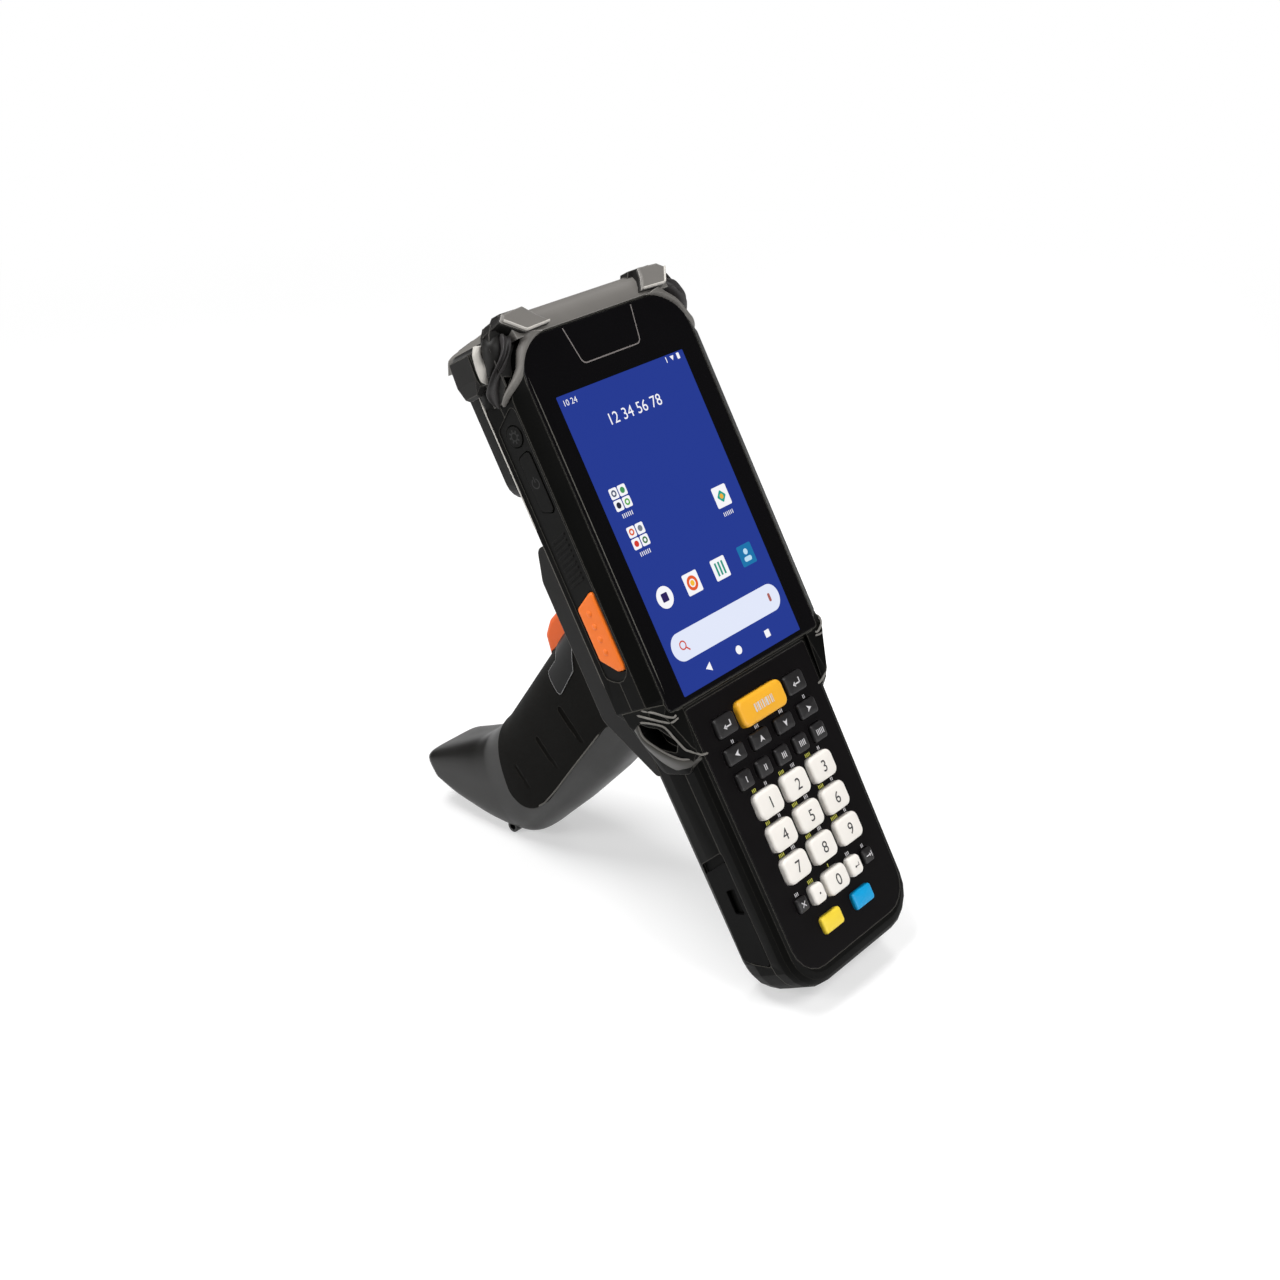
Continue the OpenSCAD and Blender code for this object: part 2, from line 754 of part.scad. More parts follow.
pocket_head = -94;
pocket_end_wall = 12;
pocket_foot = -keypad_end + pocket_end_wall;
pocket_depth = 1.7;
pocket_front = -8.6;
pocket_rear = -19.6;
function pocket_corners(foot, head, border) = outline([
  [head - border, pocket_front - border, 1], [foot + border, pocket_front - border, 1.5],
  [foot + 3 + border, pocket_rear + border, 1.5], [head - 3 - border, pocket_rear + border, 1]
]);
pocket_x = keypad_w / 2 - 1 - pocket_depth;

module latch_pocket() {
  across(pocket_corners(pocket_foot, pocket_head, 0), pocket_x, body_w);
}

module battery_latch() {
  slider_t = 1;
  window = outline([[-106, -10.4, 0.5], [-114.5, -10.4, 0.5], [-114, -14, 0.5], [-106.5, -14, 0.5]]);
  color([0.13, 0.13, 0.13])
    difference() {
      across(pocket_corners(pocket_foot, pocket_head - latch_travel - clearance, clearance),
        pocket_x + clearance, pocket_x + clearance + slider_t);
      across(window, pocket_x, body_w);
    }
}

module battery_latch_right() {
  battery_latch();
}

module battery_latch_left() {
  mirror_x()
    battery_latch();
}

// ---- Grip -----------------------------------------------------------------------------------

// Front and palm lines of the grip in the y-z plane, as y by depth below the glass.
front_top_y = -6.6;
toe_y = -46.2;
toe_tip_y = -44.8;
front_run = (toe_y - front_top_y) / -tan(grip_tilt);
grip_front = [
  [grip_top - 3, front_top_y + 3 * tan(grip_tilt)],
  [grip_top + front_run * 0.86, front_top_y - front_run * 0.86 * tan(grip_tilt)],
  [grip_top + front_run * 1.03, toe_y + 1.2],
  [grip_top + front_run * 1.12, toe_y],
  [toe_depth - 1.6, toe_tip_y],
  [toe_depth, toe_tip_y - 1.8]
];
grip_palm = [
  [grip_top - 3, -58.2], [grip_top + 6, -59.4], [grip_top + 18, -63.6], [grip_top + 37, -71.4],
  [grip_top + 60, -78.8], [heel_depth - 9, -82.8], [heel_depth - 2, -84.8], [heel_depth + 2, -84.6],
  [heel_depth + 7, -81.4], [heel_depth + 14, -76], [toe_depth - 8.5, -64.8], [toe_depth - 3, -57.4], [toe_depth - 1, -54.6], [toe_depth, -52.6]
];
grip_half = [
  [grip_top - 3, grip_w / 2], [grip_top + 40, grip_w / 2 - 0.3], [heel_depth - 12, grip_w / 2 - 0.8],
  [heel_depth + 2, grip_w / 2 - 1.6], [toe_depth - 16, grip_w / 2 - 2],
  [toe_depth - 3, grip_w / 2 - 2.2], [toe_depth, grip_w / 2 - 4]
];
// How square the sections are: the power of the superellipse, which grows towards the toe.
grip_square = [[heel_depth + 3, 2.7], [heel_depth + 18, 4], [toe_depth, 5]];
socket_depth = 4.5;
column_levels = concat(
  [grip_top - socket_depth], [for (k = [0 : 5]) grip_top + 12.5 * k], [heel_depth - 9, heel_depth - 3, heel_depth + 1.5]
);
toe_levels = [heel_depth + 5, heel_depth + 11, heel_depth + 18, toe_depth - 8.5, toe_depth - 3, toe_depth - 1, toe_depth];
toe_root = heel_depth - 1;
toe_root_inset = 1.2;

// One horizontal section of the grip: a superellipse between the front and palm lines.
function grip_ring(depth, shrink, points = 24) = let (
  front = lookup(depth, grip_front) - shrink,
  palm = lookup(depth, grip_palm) + shrink,
  half = lookup(depth, grip_half) - shrink,
  power = 2 / lookup(depth, grip_square)
) [
  for (i = [0 : points - 1]) let (turn = 360 * (i + 0.5) / points) [
    half * sign(cos(turn)) * pow(abs(cos(turn)), power),
    (front + palm) / 2 + (front - palm) / 2 * sign(sin(turn)) * pow(abs(sin(turn)), power)
  ]
];

module grip_column(shrink) {
  hull()
    for (depth = column_levels)
      plate(grip_ring(depth, shrink), -depth, -depth + slice);
}

// The grip's outer form: a column down to the heel, and the toe that grows out of its foot.
module grip_form(shrink) {
  grip_column(shrink);
  hull() {
    plate(grip_ring(toe_root, shrink + toe_root_inset), -toe_root, -toe_root + slice);
    for (depth = toe_levels)
      plate(grip_ring(depth, shrink), -depth, -depth + slice);
  }
}

// Side view of the region that the two textured shells cover; the back strap is the rest.
shell_region = outline([
  [20, -grip_top + 5, 0], [-48, -grip_top + 5, 0], [-52.5, -54, 4], [-64.5, -81, 20], [-72, -97, 14], [-74.5, -109, 7],
  [-66, -113.2, 7], [-44, -110, 3], [20, -92, 0]
]);

// The trigger hangs from its pin; its profile is [y, z, radius], front side first.
pin_y = -19;
pin_z = -42;
trigger_corners = [
  [-9, -38.6, 1.5], [-13.2, -50, 14], [-12.4, -61, 8], [-15, -68, 3], [-19, -72.6, 2.5], [-27, -74.4, 1.5],
  [-28.4, -66, 3], [-25.4, -50, 6], [-24.6, -38.6, 3]
];

// Where a point of the trigger's profile lies when the trigger is pulled all the way.
function pulled(corner) = let (dy = corner.x - pin_y, dz = corner.y - pin_z) [
  pin_y + dy * cos(trigger_swing) + dz * sin(trigger_swing),
  pin_z - dy * sin(trigger_swing) + dz * cos(trigger_swing)
];
well_room = 3.2;
well_mid = pulled(trigger_corners[6]);
well_low = pulled(trigger_corners[5]);
well_foot = trigger_corners[5].y - 2.6;

module trigger_well() {
  well_half = trigger_w / 2 + clearance;
  across(outline([
    [20, -30, 0], [-27, -30, 0], [well_mid.x - well_room, -60, 3], [well_low.x - well_room - 2, well_foot + 1, 3],
    [-24, well_foot, 2], [20, well_foot, 0]
  ]), -well_half, well_half);
}

module trigger_bore(r, from, to) {
  translate([from, pin_y, pin_z])
    rotate([0, 90, 0])
      cylinder(r = r, h = to - from, $fn = 48);
}
pin_half = trigger_w / 2 + 4;

module grip_shell() {
  groove_count = 3;
  groove_r = 1.4;
  groove_run = [14, 6];
  color([0.13, 0.13, 0.13])
    difference() {
      intersection() {
        grip_form(0);
        across(shell_region, 0, 40);
      }
      trigger_well();
      bezel_cut();
      trigger_bore(pin_r, -1, pin_half);
      // Slanted grooves for the fingers
      for (i = [0 : groove_count - 1])
        translate([grip_w / 2 + 0.5, -42 - 6.5 * i, -73.5 - 15.4 * i])
          rotate([atan2(groove_run.x, groove_run.y), 0, 0]) {
            cylinder(r = groove_r, h = norm(groove_run), $fn = 24);
            for (end = [0, norm(groove_run)])
              translate([0, 0, end])
                sphere(r = groove_r, $fn = 24);
          }
    }
}

module grip_shell_right() {
  grip_shell();
}

module grip_shell_left() {
  mirror_x()
    grip_shell();
}

module grip_back_strap() {
  color([0.20, 0.20, 0.20])
    difference() {
      grip_form(grip_step);
      across(shell_region, -40, 40);
      eyelet_hub(eyelet_r + seat_play, eyelet_w);
    }
}

// Sled that carries the grip and hugs the back of the terminal.
mount_head = 9;
mount_w = 64;
module grip_mount_form() {
  hull() {
    across(outline([[mount_head, -back_depth, 0], [mount_head, -30.5, 3], [-1, -grip_top + 0.6, 4],
      [-47, -grip_top + 0.6, 6], [-67.5, -21.6, 2], [-67.5, -18.5, 0]]), -mount_w / 2 + 1, mount_w / 2 - 1);
    across(outline([[mount_head, -back_depth, 0], [mount_head - 1, -29, 3], [-4, -grip_top, 4],
      [-52, -grip_top, 10], [-66, -24, 3], [-66, -20, 0]]), -mount_w / 2 + 6, mount_w / 2 - 6);
  }
}

module grip_mount() {
  color([0.14, 0.14, 0.14])
    difference() {
      grip_mount_form();
      display_solid();
      keypad_solid();
      trigger_well();
      grip_column(-seat_play);
    }
}

// ---- Trigger --------------------------------------------------------------------------------

module trigger() {
  color([0.98, 0.45, 0.16])
    difference() {
      across(outline(trigger_corners), -trigger_w / 2, trigger_w / 2);
      trigger_bore(pin_r + pin_fit, -trigger_w, trigger_w);
    }
}

module trigger_pin() {
  color([0.70, 0.70, 0.72])
    trigger_bore(pin_r, -pin_half, pin_half);
}

// Return spring between the trigger's back and the rear wall of the well.
spring_z = -62;
wire_r = 0.35;
spring_from = well_mid.x - well_room + clearance + wire_r;
spring_to = trigger_corners[6].x + 0.75 - clearance - wire_r;
module trigger_spring() {
  turns = 5;
  coil_r = 2.3;
  steps = 12 * turns;
  wire_sides = 6;
  color([0.75, 0.75, 0.77])
    loft([
      for (i = [0 : steps]) let (turn = 360 * turns * i / steps, along = spring_from + (spring_to - spring_from) * i / steps) [
        for (k = [0 : wire_sides - 1]) let (a = 360 * k / wire_sides, r = coil_r + wire_r * cos(a))
          [r * cos(turn), along + wire_r * sin(a), spring_z + r * sin(turn)]
      ]
    ]);
}

// Grey notched collar round the lower end of the trigger.
module bezel_cut() {
  back = well_low.x - well_room - 4.4;
  across(outline([[-12, -57, 0], [-24.6, -52.6, 0], [-31.8, -55, 1.5], [back, -66, 1.5], [-30, -70, 0],
    [-27, -64, 0], [-12, -68, 0]]), -grip_w, grip_w);
}

module trigger_bezel() {
  color([0.42, 0.42, 0.43])
    difference() {
      intersection() {
        grip_form(-0.3);
        bezel_cut();
      }
      trigger_well();
    }
}

// ---- Eyelet and stand -----------------------------------------------------------------------

eyelet_r = 2.2;
eyelet_w = 22;
eyelet_z = -heel_depth - 7;
eyelet_y = lookup(-eyelet_z, grip_palm) + eyelet_r;
module eyelet_hub(r, half) {
  translate([-half, eyelet_y, eyelet_z])
    rotate([0, 90, 0])
      cylinder(r = r, h = 2 * half, $fn = 48);
}

module lanyard_eyelet() {
  color([0.08, 0.08, 0.08])
    difference() {
      eyelet_hub(eyelet_r, eyelet_w / 2);
      eyelet_hub(eyelet_hole_r, eyelet_w);
    }
}

// The lean at which the keypad end's back edge and the eyelet touch the same floor: both are
// circles in the side view, so the floor is the line that is tangent to the two.
end_centre = [-keypad_end + back_edge_r, -keypad_back + back_edge_r];
apart = end_centre - [eyelet_y, eyelet_z];
lean = atan2(apart.y, apart.x) - acos((back_edge_r - eyelet_r) / norm(apart)) ;
floor_drop = back_edge_r - end_centre * [cos(lean), sin(lean)];

// Where a point of the side view comes to lie front to back once the device leans.
function row_y(y, z) = y * sin(lean) - z * cos(lean);
front_reach = min([for (turn = [0 : 30 : 90])
  row_y(-keypad_end + front_edge_r * (1 - sin(turn)), -keypad_drop - front_edge_r * (1 - cos(turn)))]);
back_reach = max([for (depth = toe_levels) row_y(lookup(depth, grip_front), -depth)]);

module stand() {
  translate([0, -(front_reach + back_reach) / 2, floor_drop])
    rotate([90 - lean, 0, 0])
      children();
}

stand() front_frame();
stand() display_glass();
stand() display_panel();
stand() main_board();
stand() rear_shell();
stand() keypad_bezel();
stand() keypad_mat();
stand() head_cover();
stand() scan_window();
stand() scan_engine();
stand() bumper_left();
stand() bumper_right();
stand() strap_pod_left();
stand() strap_pod_right();
stand() side_panel_left();
stand() side_panel_right();
stand() side_trigger_left();
stand() side_trigger_right();
stand() power_button();
stand() function_button();
stand() battery_pack();
stand() battery_latch_left();
stand() battery_latch_right();
stand() grip_mount();
stand() grip_shell_left();
stand() grip_shell_right();
stand() grip_back_strap();
stand() trigger();
stand() trigger_pin();
stand() trigger_spring();
stand() trigger_bezel();
stand() lanyard_eyelet();
for (key = KEYS)
  stand() key_cap(key);
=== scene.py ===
"""Looks of a portable barcode data terminal with a pistol grip: rounded edges, key caps and legends, screen
picture, grip, bumpers, thin trim, finishes, floor, light and camera.

Shapes are worked out in the device's own frame in millimetres: x to the right of the screen, y towards
the scanning head, z out of the screen, the origin at the screen's centre on the glass.
"""
import json
import math

import bmesh
import bpy
import numpy as np
from mathutils import Matrix, Vector


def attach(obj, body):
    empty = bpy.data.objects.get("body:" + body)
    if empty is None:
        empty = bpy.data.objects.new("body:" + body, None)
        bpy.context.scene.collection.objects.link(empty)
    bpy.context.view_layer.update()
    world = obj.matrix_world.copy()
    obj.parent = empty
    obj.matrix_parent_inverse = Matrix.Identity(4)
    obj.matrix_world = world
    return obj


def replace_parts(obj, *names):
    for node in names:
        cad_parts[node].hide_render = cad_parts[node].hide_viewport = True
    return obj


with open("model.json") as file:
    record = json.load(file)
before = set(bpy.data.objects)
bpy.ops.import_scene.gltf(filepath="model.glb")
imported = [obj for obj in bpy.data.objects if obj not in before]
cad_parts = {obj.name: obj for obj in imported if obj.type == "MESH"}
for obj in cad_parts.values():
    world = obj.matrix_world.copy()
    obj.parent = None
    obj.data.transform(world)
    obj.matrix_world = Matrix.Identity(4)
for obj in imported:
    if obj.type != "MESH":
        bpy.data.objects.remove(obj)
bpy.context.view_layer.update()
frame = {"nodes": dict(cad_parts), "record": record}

MM = 0.001
BODY_OF = {n: b for b, names in frame["record"]["behaviour"]["bodies"].items() for n in names}

# ---- The device's frame ----------------------------------------------------------------------

face = next(m for m in frame["record"]["mounts"] if m["name"] == "screen_face")
ORIGIN = np.array(face["pos_m"], float)
NORMAL = np.array(face["axis"], float) / np.linalg.norm(face["axis"])
AXES = np.array([[1.0, 0.0, 0.0], [0.0, NORMAL[2], -NORMAL[1]], NORMAL])
LEAN = math.atan2(AXES[1][2], AXES[1][1])


def to_row(points):
    """Device millimetres to row metres: the origin plus the point's share of each device axis."""
    return ORIGIN + MM * np.asarray(points, float) @ AXES


def device_points(node):
    """A CAD node's vertices in device millimetres."""
    mesh = frame["nodes"][node].data
    co = np.empty(len(mesh.vertices) * 3, np.float32)
    mesh.vertices.foreach_get("co", co)
    return (co.reshape(-1, 3) - ORIGIN) @ AXES.T / MM


def device_box(node):
    """Lowest and highest corner of a CAD node in device millimetres."""
    points = device_points(node)
    return points.min(0), points.max(0)


# ---- Mesh helpers ----------------------------------------------------------------------------


def in_scene(name, data):
    """An object at the origin that shows a mesh, curve, lamp or camera."""
    thing = bpy.data.objects.new(name, data)
    bpy.context.scene.collection.objects.link(thing)
    return thing


def smooth(mesh, sharp):
    """Smooth shading, but for the edges that turn by more than some degrees."""
    mesh.polygons.foreach_set("use_smooth", np.ones(len(mesh.polygons), bool))
    mesh.set_sharp_from_angle(angle=math.radians(sharp))


def new_piece(name, points, faces, finish, body, slot, sharp=40):
    """A mesh from device points and faces. It rides on a body, if one is given."""
    mesh = bpy.data.meshes.new(name)
    mesh.from_pydata(to_row(points).tolist(), [], [list(f) for f in faces])
    mesh.validate()
    smooth(mesh, sharp)
    mesh.materials.append(finish)
    piece = in_scene(name, mesh)
    if body:
        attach(piece, body)
    return piece


def at_level(points, level):
    """Plane points, all at one height."""
    return np.column_stack([points, np.full(len(points), level)])


def at_x(x, profile):
    """Points of a y-z profile, all at one x."""
    return np.column_stack([np.full(len(profile), x), profile])


def grid_faces(rows, columns):
    """Quads between neighbouring rows of a grid that closes round its columns."""
    i, j = np.meshgrid(np.arange(rows - 1) * columns, np.arange(columns), indexing="ij")
    k = (j + 1) % columns
    return np.stack([i + j, i + k, i + columns + k, i + columns + j], -1).reshape(-1, 4)


def skin(rings):
    """Points and faces of a closed solid through rings of equally many points, with a middle point that
    closes each end."""
    rings = np.asarray(rings, float)
    rows, columns = rings.shape[:2]
    points = np.vstack([rings.reshape(-1, 3), rings[0].mean(0), rings[-1].mean(0)])
    j = np.arange(columns)
    k = (j + 1) % columns
    last = (rows - 1) * columns
    foot = np.stack([k, j, np.full(columns, rows * columns)], -1)
    head = np.stack([last + j, last + k, np.full(columns, rows * columns + 1)], -1)
    return points, [*grid_faces(rows, columns).tolist(), *foot.tolist(), *head.tolist()]


def outline(corners, steps=8):
    """A closed outline from corners [x, y, radius]: each corner is an arc that meets both sides."""
    corners = np.asarray(corners, float)
    points = []
    for i, (x, y, r) in enumerate(corners):
        here = np.array([x, y])
        to_before = corners[i - 1][:2] - here
        to_after = corners[(i + 1) % len(corners)][:2] - here
        to_before /= np.linalg.norm(to_before)
        to_after /= np.linalg.norm(to_after)
        if r <= 0:
            points.append(here[None])
            continue
        half = math.acos(np.clip(to_before @ to_after, -1, 1)) / 2
        middle = to_before + to_after
        centre = here + middle / np.linalg.norm(middle) * r / math.sin(half)
        first = here + to_before * r / math.tan(half) - centre
        last = here + to_after * r / math.tan(half) - centre
        start = math.atan2(first[1], first[0])
        sweep = (math.atan2(last[1], last[0]) - start + 3 * math.pi) % (2 * math.pi) - math.pi
        turn = start + sweep * np.linspace(0, 1, steps + 1)
        points.append(centre + r * np.stack([np.cos(turn), np.sin(turn)], -1))
    return np.vstack(points)


def round_box(w, h, r, steps=8):
    """A rectangle centred on the origin with round corners, anticlockwise."""
    return outline([[w / 2, -h / 2, r], [w / 2, h / 2, r], [-w / 2, h / 2, r], [-w / 2, -h / 2, r]], steps)


def evenly(points, count):
    """The same closed outline with points at equal steps of its length."""
    closed = np.vstack([points, points[:1]])
    along = np.concatenate([[0], np.cumsum(np.linalg.norm(np.diff(closed, axis=0), axis=1))])
    at = np.linspace(0, along[-1], count, endpoint=False)
    return np.stack([np.interp(at, along, closed[:, k]) for k in range(closed.shape[1])], -1)


def double_area(points):
    """Twice the area inside a closed plane outline, positive where it runs anticlockwise."""
    x, y = points[:, 0], points[:, 1]
    return (x * np.roll(y, -1) - y * np.roll(x, -1)).sum()


def outward(points):
    """Unit normals of a closed plane outline, pointing away from its inside."""
    ahead = np.roll(points, -1, 0) - np.roll(points, 1, 0)
    normal = np.stack([ahead[:, 1], -ahead[:, 0]], -1)
    normal /= np.linalg.norm(normal, axis=1)[:, None]
    return normal * np.sign(double_area(points))


def merged_copy(node, join=2e-6, flat=0.3):
    """A CAD node's mesh for editing: points within the join, in metres, are made one, and so are faces that
    turn by less than some degrees."""
    work = bmesh.new()
    work.from_mesh(frame["nodes"][node].data)
    bmesh.ops.remove_doubles(work, verts=work.verts, dist=join)
    bmesh.ops.dissolve_limit(work, angle_limit=math.radians(flat), verts=work.verts, edges=work.edges)
    return work


SHARP = 28     # degrees by which a moulded edge turns at least


def rounded_edges(piece, width, sharp=SHARP):
    """The bevel that rounds a piece's edges, where they turn by more than some degrees."""
    bevel = piece.modifiers.new("edges", "BEVEL")
    bevel.width = width * MM
    bevel.segments = 2
    bevel.limit_method = "ANGLE"
    bevel.angle_limit = math.radians(sharp)
    bevel.use_clamp_overlap = True
    bevel.harden_normals = True
    bevel.miter_outer = "MITER_ARC"


def dressed(node, finish, edge):
    """A merged copy of a CAD node with its edges rounded, standing for the node."""
    work = merged_copy(node)
    mesh = bpy.data.meshes.new(node + "_finished")
    work.to_mesh(mesh)
    work.free()
    smooth(mesh, SHARP)
    mesh.materials.clear()
    mesh.materials.append(finish)
    piece = in_scene(node + "_finished", mesh)
    rounded_edges(piece, edge)
    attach(piece, BODY_OF[node])
    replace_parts(piece, node)


# ---- Finishes --------------------------------------------------------------------------------

CLOUDS = 0.06                           # broad noise for each millimetre, which varies colour and roughness
ROUGHNESS_SPREAD = 0.07
HIGHLIGHT_STARTS, HIGHLIGHT_FULL = 0.995, 0.90    # how far the rounded and the true normal agree there
LEAST_EDGE = 0.05                       # millimetres
COAT_ROUGHNESS = 0.12


def tone(r, g, b):
    """A display colour of 0 to 255 as linear light."""
    c = np.array([r, g, b]) / 255
    return (*np.where(c <= 0.04045, c / 12.92, ((c + 0.055) / 1.055) ** 2.4).tolist(), 1.0)


def add(tree, kind, inputs=None, links=None, **settings):
    """A shader node of a kind with its settings and its inputs' values, fed by other nodes' outputs."""
    node = tree.nodes.new("ShaderNode" + kind)
    for name, value in settings.items():
        setattr(node, name, value)
    for socket, value in (inputs or {}).items():
        node.inputs[socket].default_value = value
    for socket, output in (links or {}).items():
        tree.links.new(output, node.inputs[socket])
    return node


def moulded(name, colour, roughness, grain=0.0, grain_size=0.25, edge=0.35, edge_highlight_colour=None, edge_highlight=0.0,
            variation=0.12, gloss=0.5, coat=0.0):
    """Moulded plastic or rubber. Fine noise gives the mould's grain as bump, broad noise varies colour and
    roughness, and the difference between the rounded and the true normal marks the edges, where a lighter
    colour is mixed in as a painted highlight."""
    material = bpy.data.materials.new(name)
    material.use_nodes = True
    tree = material.node_tree
    shader = tree.nodes["Principled BSDF"]
    shader.inputs["Specular IOR Level"].default_value = gloss
    shader.inputs["Coat Weight"].default_value = coat
    shader.inputs["Coat Roughness"].default_value = COAT_ROUGHNESS

    place = add(tree, "TexCoord")
    turn = add(tree, "Mapping", {"Location": ORIGIN, "Rotation": (LEAN, 0, 0), "Scale": (MM, MM, MM)},
               {"Vector": place.outputs["Object"]}, vector_type="TEXTURE")
    broad = add(tree, "TexNoise", {"Scale": CLOUDS, "Detail": 5}, {"Vector": turn.outputs["Vector"]})
    fine = add(tree, "TexNoise", {"Scale": 1 / grain_size, "Detail": 3}, {"Vector": turn.outputs["Vector"]})

    rounded = add(tree, "Bevel", {"Radius": max(edge, LEAST_EDGE) * MM}, samples=6)
    true = add(tree, "NewGeometry")
    agree = add(tree, "VectorMath", links={0: rounded.outputs["Normal"], 1: true.outputs["Normal"]},
                operation="DOT_PRODUCT")
    # Painted highlight on the edges: where the rounded normal parts from the true one, a lighter colour is
    # mixed into the base colour
    highlight_mask = add(tree, "MapRange", {"From Min": HIGHLIGHT_STARTS, "From Max": HIGHLIGHT_FULL, "To Max": edge_highlight},
               {"Value": agree.outputs["Value"]})

    dark = (*[c * (1 - variation) for c in colour[:3]], 1)
    pale = (*[min(c * (1 + variation), 1) for c in colour[:3]], 1)
    highlight_colour = edge_highlight_colour or (*[min(c * 2.2 + 0.02, 1) for c in colour[:3]], 1)
    shade = add(tree, "Mix", {"A": dark, "B": pale}, {"Factor": broad.outputs["Fac"]}, data_type="RGBA")
    highlighted = add(tree, "Mix", {"B": highlight_colour}, {"Factor": highlight_mask.outputs["Result"], "A": shade.outputs["Result"]},
               data_type="RGBA")
    tree.links.new(highlighted.outputs["Result"], shader.inputs["Base Color"])

    smoother, rougher = roughness - ROUGHNESS_SPREAD, roughness + ROUGHNESS_SPREAD
    rough = add(tree, "MapRange", {"To Min": smoother, "To Max": rougher}, {"Value": broad.outputs["Fac"]})
    tree.links.new(rough.outputs["Result"], shader.inputs["Roughness"])

    bump = add(tree, "Bump", {"Distance": grain * MM, "Strength": 1.0 if grain else 0.0},
               {"Height": fine.outputs["Fac"], "Normal": rounded.outputs["Normal"]})
    tree.links.new(bump.outputs["Normal"], shader.inputs["Normal"])
    return material


def printed(name, colour, roughness=0.5):
    """Ink or a lit picture: one colour, broken up very slightly so that it doesn't look like a sticker."""
    return moulded(name, colour, roughness, variation=0.05, edge=0.05, gloss=0.3)


# The edge highlight colours and strengths of these finishes are painted highlights along their edges
HOUSING = moulded("housing_plastic", tone(9, 9, 8), 0.44, grain=0.02, grain_size=0.3, edge=0.5, gloss=0.05,
                  edge_highlight_colour=tone(112, 110, 104), edge_highlight=0.6)
DEEP = moulded("inner_plastic", tone(8, 8, 8), 0.6, grain=0.02, gloss=0.08)
PANEL = moulded("side_panel_plastic", tone(13, 13, 12), 0.55, grain=0.03, grain_size=0.35, edge=0.3,
                gloss=0.09, edge_highlight_colour=tone(52, 52, 50), edge_highlight=0.35)
BUMPER = moulded("bumper_rubber", tone(26, 25, 24), 0.5, grain=0.03, grain_size=0.35, edge=0.6, gloss=0.2,
                 edge_highlight_colour=tone(120, 117, 112), edge_highlight=0.6)
# Lighter copy of the bumper rubber for the fin's ridges: painted light, as the bumper is one rubber
LIT_BUMPER_FIN = moulded("bumper_fin_painted_light", tone(56, 54, 54), 0.45, grain=0.015, grain_size=0.3, edge=0.3,
                     gloss=0.35)
# Near-white finish: a painted highlight on the pad's rim bead, the crescent on the head's side and the wall's
# seam at the head
BUMPER_RIM_HIGHLIGHT = moulded("bumper_rim_painted_highlight", tone(205, 201, 194), 0.4, edge=0.2, gloss=0.4)
# Lighter copy of the bumper rubber for the pad's face and the arm: painted light, as the bumper is one rubber
LIT_BUMPER_PAD = moulded("bumper_pad_painted_light", tone(112, 109, 105), 0.48, grain=0.015, grain_size=0.3, edge=0.5,
                     gloss=0.35, edge_highlight_colour=tone(214, 210, 204), edge_highlight=0.8)
COVER = moulded("head_cover_satin", tone(112, 109, 105), 0.5, grain=0.015, grain_size=0.25, edge=0.6,
                gloss=0.35, edge_highlight_colour=tone(190, 188, 184), edge_highlight=0.5)
MOUNT = moulded("mount_satin", tone(15, 14, 13), 0.42, grain=0.02, grain_size=0.3, edge=0.5, gloss=0.16,
                edge_highlight_colour=tone(120, 117, 110), edge_highlight=0.5)
GRIP_RUBBER = moulded("grip_rubber", tone(11, 10, 8), 0.6, grain=0.07, grain_size=0.42, edge=0.5, gloss=0.05,
                      edge_highlight_colour=tone(70, 68, 64), edge_highlight=0.6)
GRIP_SATIN = moulded("grip_satin", tone(17, 16, 14), 0.40, grain=0.012, grain_size=0.3, edge=0.6, gloss=0.42,
                     edge_highlight_colour=tone(104, 101, 94), edge_highlight=0.4)
COLLAR = moulded("collar_grey", tone(12, 12, 12), 0.42, grain=0.015, edge=0.5, gloss=0.12,
                 edge_highlight_colour=tone(200, 200, 200), edge_highlight=0.9)
# Light grey on the pod's raised lines: a painted highlight on the black housing's edges
POD_RIM_HIGHLIGHT = moulded("pod_rim_painted_highlight", tone(118, 115, 110), 0.42, grain=0.01, edge=0.2, gloss=0.35)
# A painted sheen: the shoe under the pod's foot is far lighter than the housing it belongs to; its curve also
# catches the lamps
POD_SHOE_SHEEN = moulded("pod_shoe_painted_sheen", tone(62, 60, 56), 0.42, grain=0.015, grain_size=0.3, edge=0.2,
                         gloss=0.4)
# Grey on seams and edges of the black housing and grip: a painted highlight
SEAM_HIGHLIGHT = moulded("seam_painted_highlight", tone(92, 90, 85), 0.5, edge=0.2, gloss=0.2)
GLASS = moulded("cover_glass", tone(10, 9, 11), 0.06, edge=0.3, variation=0.2, gloss=0.2,
                edge_highlight_colour=tone(120, 118, 116), edge_highlight=0.6)
SCAN_GLASS = moulded("scan_glass", tone(48, 6, 8), 0.05, edge=0.2, coat=0.5)
PLATE = moulded("keypad_plate", tone(13, 11, 12), 0.45, grain=0.012, grain_size=0.25, edge=0.25, gloss=0.06,
                edge_highlight_colour=tone(104, 100, 102), edge_highlight=0.45)
KEY_DARK = moulded("key_dark", tone(24, 22, 23), 0.42, grain=0.008, edge=0.2, gloss=0.4)
KEY_IVORY = moulded("key_ivory", tone(250, 245, 238), 0.42, grain=0.006, edge=0.2, variation=0.02, gloss=0.4)
KEY_AMBER, KEY_YELLOW, KEY_BLUE = (
    moulded(name, colour, 0.38, grain=0.006, edge=0.2, variation=0.03, gloss=0.4)
    for name, colour in (("key_amber", tone(255, 184, 44)), ("key_yellow", tone(255, 222, 64)),
                         ("key_blue", tone(0, 164, 224))))
